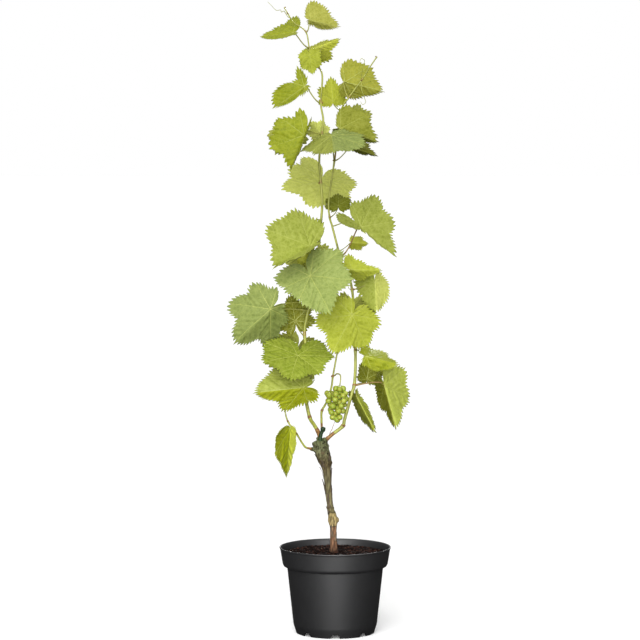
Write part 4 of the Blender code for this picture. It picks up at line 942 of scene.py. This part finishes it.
def ring_faces(columns, rings):
    """Forward faces of a polar blade, a fan and then bands whose columns may double, and its rim."""
    first, count = 1, columns // rings[0][1]
    faces = [[0, first + (k + 1) % count, first + k] for k in range(count)]
    for (_, before), (_, after) in zip(rings, rings[1:]):
        inner, following = columns // before, columns // after
        nxt = first + inner
        for k in range(inner):
            a, b = first + k, first + (k + 1) % inner
            if inner == following:
                faces.append([a, b, nxt + (k + 1) % inner, nxt + k])
            else:
                c, d, e = nxt + 2 * k, nxt + 2 * k + 1, nxt + (2 * k + 2) % following
                faces += [[a, d, c], [a, b, d], [b, e, d]]
        first = nxt
    return faces, first


def blade(leaf, angles, stand, veins, phase):
    """The blade as points (m) and faces, and the name of each face's finish."""
    rings = FINE_RINGS if leaf.length >= GROWN else YOUNG_RINGS
    front_faces, rim = ring_faces(len(angles), rings)
    reach = margin(leaf, angles)
    cut = TOOTH_DEPTH * (1.0 + YOUNG_TEETH * max(0.0, 1.0 - leaf.length / CUT_GROWN))
    at, out = [np.zeros(1)], [np.zeros(1)]
    for share, step in rings:
        fade = max(0.0, (share - (1.0 - TOOTH_BAND)) / TOOTH_BAND)
        at.append(angles[::step])
        out.append(reach[::step] * share + fade ** 1.5 * cut * stand[::step])
    at, out = np.concatenate(at), np.concatenate(out)
    flat = np.column_stack((out * np.sin(np.radians(at)), out * np.cos(np.radians(at))))
    marks = np.concatenate([np.column_stack(row[:2]) for row in veins])
    close = np.hypot(*(marks[1:] - marks[:-1]).T) < 0.08
    marks = np.concatenate((marks, 0.5 * (marks[1:] + marks[:-1])[close]))
    away = np.sqrt(((flat[:, None, :] - marks[None, :, :]) ** 2).sum(2)).min(1)
    swell = PUCKER * leaf.length * (1.0 - np.exp(-(away / PUCKER_REACH) ** 2))
    middle, normals = on_blade(leaf, at, out, phase), blade_normals(leaf, at, out, phase)
    middle += normals * (leaf.face * swell)[:, None]
    thinned = RIM_THINNING * np.clip(out / np.maximum(margin(leaf, at), 0.05), 0, 1) ** 3
    half_thick = (0.5 * THIN * leaf.length * (1.0 - thinned))[:, None]
    points = np.concatenate((middle + normals * half_thick, middle - normals * half_thick)) * MM
    size, columns = len(middle), len(angles)
    faces = front_faces + [[size + v for v in face[::-1]] for face in front_faces]
    for k in range(rim, rim + columns):
        n = rim + (k + 1 - rim) % columns
        faces.append([k, n, size + n, size + k])
    front, back = leaf.tint, "lower"
    if leaf.face < 0:
        front, back = ("under", "mature") if leaf.tint == "under" else ("lower", leaf.tint)
    front = leaf.skin or front
    names = [leaf.half if leaf.half and np.mean(flat[face, 0]) > 0.0 else front for face in front_faces]
    return (points, faces), names + [back] * (len(faces) - len(names))


def vein(leaf, x, y, wide, narrow, phase):
    """A vein as points (m) and faces: a six-sided bar let into the blade, prouder below."""
    angle, run = np.degrees(np.arctan2(x, y)), np.hypot(x, y)
    spine, up = on_blade(leaf, angle, run, phase), blade_normals(leaf, angle, run, phase)
    lateral = np.cross(np.gradient(spine, axis=0), up)
    lateral /= np.maximum(norm(lateral, axis=1), 1e-9)[:, None]
    scale = min(1.0, leaf.length / VEINED)
    lateral *= (np.linspace(wide, narrow, len(x)) * (0.35 + 0.65 * scale) / 2.0)[:, None]
    thick = 0.5 * THIN * leaf.length
    upper, lower = (0.30, 0.55) if leaf.face > 0 else (0.55, 0.30)
    top, bottom = thick + upper * (0.5 + 0.5 * scale), thick + lower * (0.5 + 0.5 * scale)
    edge = up * (thick - VEIN_LET_IN)
    rows = [spine + up * top, spine + lateral + edge, spine + lateral - edge,
            spine - up * bottom, spine - lateral - edge, spine - lateral + edge]
    points = np.stack(rows, axis=1).reshape(-1, 3) * MM
    end = len(points) - 6
    faces = [[p + j, p + (j + 1) % 6, p + (j + 1) % 6 + 6, p + j + 6]
             for p in range(0, end, 6) for j in range(6)]
    return points, faces + [[5, 4, 3, 2, 1, 0], [end + j for j in range(6)]]


def stalk_line(leaf):
    """A petiole from the cane's skin to the junction, bowed, running on under the midrib (mm)."""
    _, along, forward = blade_axes(leaf)
    out = forward * leaf.face
    junction = np.array(leaf.junction) - out * 0.5
    line, radii = cane_lines["shoot_" + leaf.shoot]
    foot, girth = line[-1], radii[-1]
    for start, end, radius in zip(line, line[1:], radii):
        if min(start[2], end[2]) <= leaf.foot <= max(start[2], end[2]):
            foot = start + (end - start) * (leaf.foot - start[2]) / ((end[2] - start[2]) or 1.0)
            girth = radius
            break
    reach = junction - foot
    length = norm(reach)
    way = np.array((reach[0], reach[1], PETIOLE_RISE * length))
    way /= norm(way)
    start = foot + way * girth * 0.6
    bow = PETIOLE_BOW * length
    leave, arrive = start + way * bow, junction - along * bow * 0.45 - out * bow * 0.55
    t = np.linspace(0.0, 1.0, 15)[:, None]
    s = 1.0 - t
    curve = start * s ** 3 + leave * 3 * s * s * t + arrive * 3 * s * t * t + junction * t ** 3
    return np.vstack((curve, junction + along * leaf.length * 0.05))


kinds = {}
for order, (key, leaf) in enumerate(LEAVES.items()):
    kinds.setdefault(leaf.tint, []).append(("leaf_" + key, leaf, order))

for tint, rows in kinds.items():
    for number, first in enumerate(range(0, len(rows), IN_A_PIECE), 1):
        group = rows[first:first + IN_A_PIECE]
        heap = Heap()
        for _, leaf, order in group:
            rng, phase = Random(FIRST_SEED + order), 2.4 * order
            angles, stand = tooth_columns(leaf, rng)
            veins = vein_lines(leaf, rng)
            heap.take(*blade(leaf, angles, stand, veins, phase))
            for row in veins:
                heap.take(vein(leaf, *row, phase), "vein" if row[2] == MAIN_WIDTH[0] else "veinlet")
            line = stalk_line(leaf)
            girth = PETIOLE_RADIUS * min(1.0, 0.45 + leaf.length / 120.0)
            flare = np.concatenate((np.linspace(1.5, 1.0, 4), np.full(len(line) - 6, 0.95), [1.05, 0.7]))
            heap.take(stem(line, girth * flare, PETIOLE_SIDES), "flushed" if order % 6 == 3 else "petiole")
        keys = [key for key in leaf_finishes if key in heap.which]
        heap.which = [keys.index(key) for key in heap.which]
        foliage = lay(f"leaves_{tint}_{number}", heap, [leaf_finishes[key] for key in keys])
        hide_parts(*[row[0] for row in group])


# ----------------------------------------------------------------------------------------- Bunch
# One small bunch of green, unripe grapes about 10 mm across, in tiers round a branched stalk.
# Each berry hangs on its own short pedicel, has a waxy bloom, and a brown speck at its far end.

BUNCH_Y = -32.0
BUNCH_RINGS = (  # x and z of a ring's middle, its radius (mm), and its berries
    (7, 418, 7, 3), (1.5, 410.5, 15.5, 7), (3, 401, 15.5, 6), (3, 391.5, 12, 5), (1.5, 382, 11, 5),
    (1.5, 373.5, 7, 3), (3, 366.5, 0.5, 1),
)
BUNCH_TURN = 0.41  # radians from one ring to the next
BERRY_RADIUS = 5.3
PEDUNCLE = ((-1.2, -12.6, 440), (3, -19, 444), (8.5, -26, 442), (8.5, -31, 432), (7, BUNCH_Y, 424),
            (5.5, BUNCH_Y, 408), (3, BUNCH_Y, 390))
INNER_SHARE = 0.30  # radius of the hidden inner tiers, of the outer ones
INNER_SIZE = 0.85  # size of their berries, of the outer ones
SPECK_RADIUS = 0.34
BERRY_MESH, SPECK_MESH = (20, 14), (8, 5)  # sides and rings
STALK_SIDES, PEDICEL_SIDES = 8, 6
STALK_RADII, PEDICEL_RADII = (1.25, 0.8), (0.7, 0.5, 0.75)

grape_skin = mottled("unripe_grape_skin", (130.0, 4.0),
                     ((0.35, "#808c28"), (0.55, "#919b36"), (0.72, "#a3ab4a")),
                     Roughness=0.46, IOR=1.40, Subsurface_Weight=0.25, Subsurface_Scale=0.004)
speck = cord_skin("berry_speck", "#757a2c", "#848834", 0.6)

heap, rng = Heap(), Random(12)
rachis = smooth_line(PEDUNCLE, 6)
heap.take(stem(rachis, np.linspace(*STALK_RADII, len(rachis)), STALK_SIDES), 1)
for i, (x, z, radius, count) in enumerate(BUNCH_RINGS):
    for outer, number in ((True, count), (False, max(0, count - 2))):
        for j in range(number):
            turn = 2.0 * pi * (j + 0.5 * (i % 2)) / number + BUNCH_TURN * i
            drop = 1.6 * cos(3.0 * turn) if outer else -4.0
            reach = radius * (1.0 if outer else INNER_SHARE)
            spot = np.array((x + reach * sin(turn), BUNCH_Y - reach * cos(turn), z + drop))
            size = BERRY_RADIUS * rng.uniform(0.92, 1.02) * (1.0 if outer else INNER_SIZE)
            heap.take(ball(spot, size, *BERRY_MESH))
            near = rachis[int(np.argmin(norm(rachis - spot - (0, 0, 6.0), axis=1)))]
            outward = (spot - near) / max(1e-6, norm(spot - near))
            pedicel = (near, near + (spot - near) * 0.5 + (0, 0, 1.5), spot - outward * size * 0.8)
            heap.take(stem(pedicel, PEDICEL_RADII, PEDICEL_SIDES), 1)
            away = outward * 0.55 + (0, -0.1, -0.8)
            heap.take(ball(spot + away / norm(away) * size * 0.99, SPECK_RADIUS, *SPECK_MESH), 2)
bunch = lay("grapes", heap, [grape_skin, leaf_finishes["petiole"], speck])
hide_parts("grape_bunch")


# ------------------------------------------------------------------------- Studio, light, camera
# A seamless white floor and backdrop, a large soft light in front, a broad one from above, and
# small ones for the far side, the pot and the head of the trunk.

floor_mesh = bpy.data.meshes.new("studio_floor")
floor_mesh.from_pydata([(-30, -12, 0), (30, -12, 0), (30, 60, 0), (-30, 60, 0)], [], [(0, 1, 2, 3)])
floor = put("studio_floor", floor_mesh)
paper, tree, shader = finish_named("white_studio_paper", Roughness=0.95, Specular_IOR_Level=0.1)
seen = add(tree, "LightPath").outputs["Is Camera Ray"]
flagged = add(tree, "Mix", {"Factor": seen, 6: linear("#3a3a3a"), 7: linear("#fbfbfb")},
              data_type="RGBA")
tree.links.new(flagged.outputs[2], shader.inputs["Base Color"])
floor_mesh.materials.append(paper)

world = bpy.data.worlds.new("white_studio")
bpy.context.scene.world = world
world.use_nodes = True
tree = world.node_tree
backdrop = tree.nodes["Background"]
seen = add(tree, "LightPath").outputs["Is Camera Ray"]
way = add(tree, "TexCoord").outputs["Generated"]
height = add(tree, "SeparateXYZ", {"Vector": way}).outputs["Z"]
ceiling = add(tree, "MapRange", {"Value": height, 1: 0.0, 2: 0.8, 3: 0.02, 4: 0.85})
strength = add(tree, "Mix", {"Factor": seen, 2: ceiling.outputs["Result"], 3: 1.0}, data_type="FLOAT")
tree.links.new(strength.outputs[0], backdrop.inputs["Strength"])
backdrop.inputs["Color"].default_value = (1.0, 1.0, 1.0, 1.0)


def softbox(name, stand, aim, size, power, spread=180.0):
    """A soft square light at a place, turned to a point (m): its power (W) and spread (deg)."""
    lamp = bpy.data.lights.new(name, "AREA")
    lamp.shape, lamp.size, lamp.size_y = "RECTANGLE", size, size
    lamp.energy, lamp.spread = power, radians(spread)
    shown = put(name, lamp)
    shown.location = stand
    shown.rotation_euler = (Vector(aim) - Vector(stand)).to_track_quat("-Z", "Y").to_euler()


softbox("front_softbox", (-0.1, -3.0, 0.9), (0.0, 0.0, 0.4), 1.3, 60.0)
softbox("back_fill", (0.2, 2.4, 1.35), (0.0, 0.0, 0.76), 0.6, 3.0, 30.0)
softbox("low_strip", (0.0, -1.6, 0.26), (0.0, 0.0, 0.125), 0.12, 0.23, 14.0)
softbox("crown_strip", (0.0, -2.2, 0.46), (0.0, 0.0, 0.41), 0.15, 0.20, 17.0)
sun = bpy.data.lights.new("key_bank", "SUN")
sun.energy, sun.angle = 2.4, radians(50)
put("key_bank", sun).rotation_euler = (radians(54), 0.0, radians(-14))

CAMERA_AT, LOOKS_DOWN = (-0.0259, -4.5, 0.835), 3.83  # m, and degrees
SENSOR = 36.0  # mm
FOCAL_LENGTH, PICTURE_WIDTH = 2661.0, 640.0  # pixels
camera_data = bpy.data.cameras.new("camera")
camera_data.sensor_width = SENSOR
camera_data.lens = FOCAL_LENGTH / PICTURE_WIDTH * SENSOR
camera_data.clip_end = 200.0
camera = put("camera", camera_data)
camera.location = CAMERA_AT
camera.rotation_euler = (radians(90.0 - LOOKS_DOWN), 0.0, 0.0)
bpy.context.scene.camera = camera
bpy.context.scene.view_settings.view_transform = "Standard"
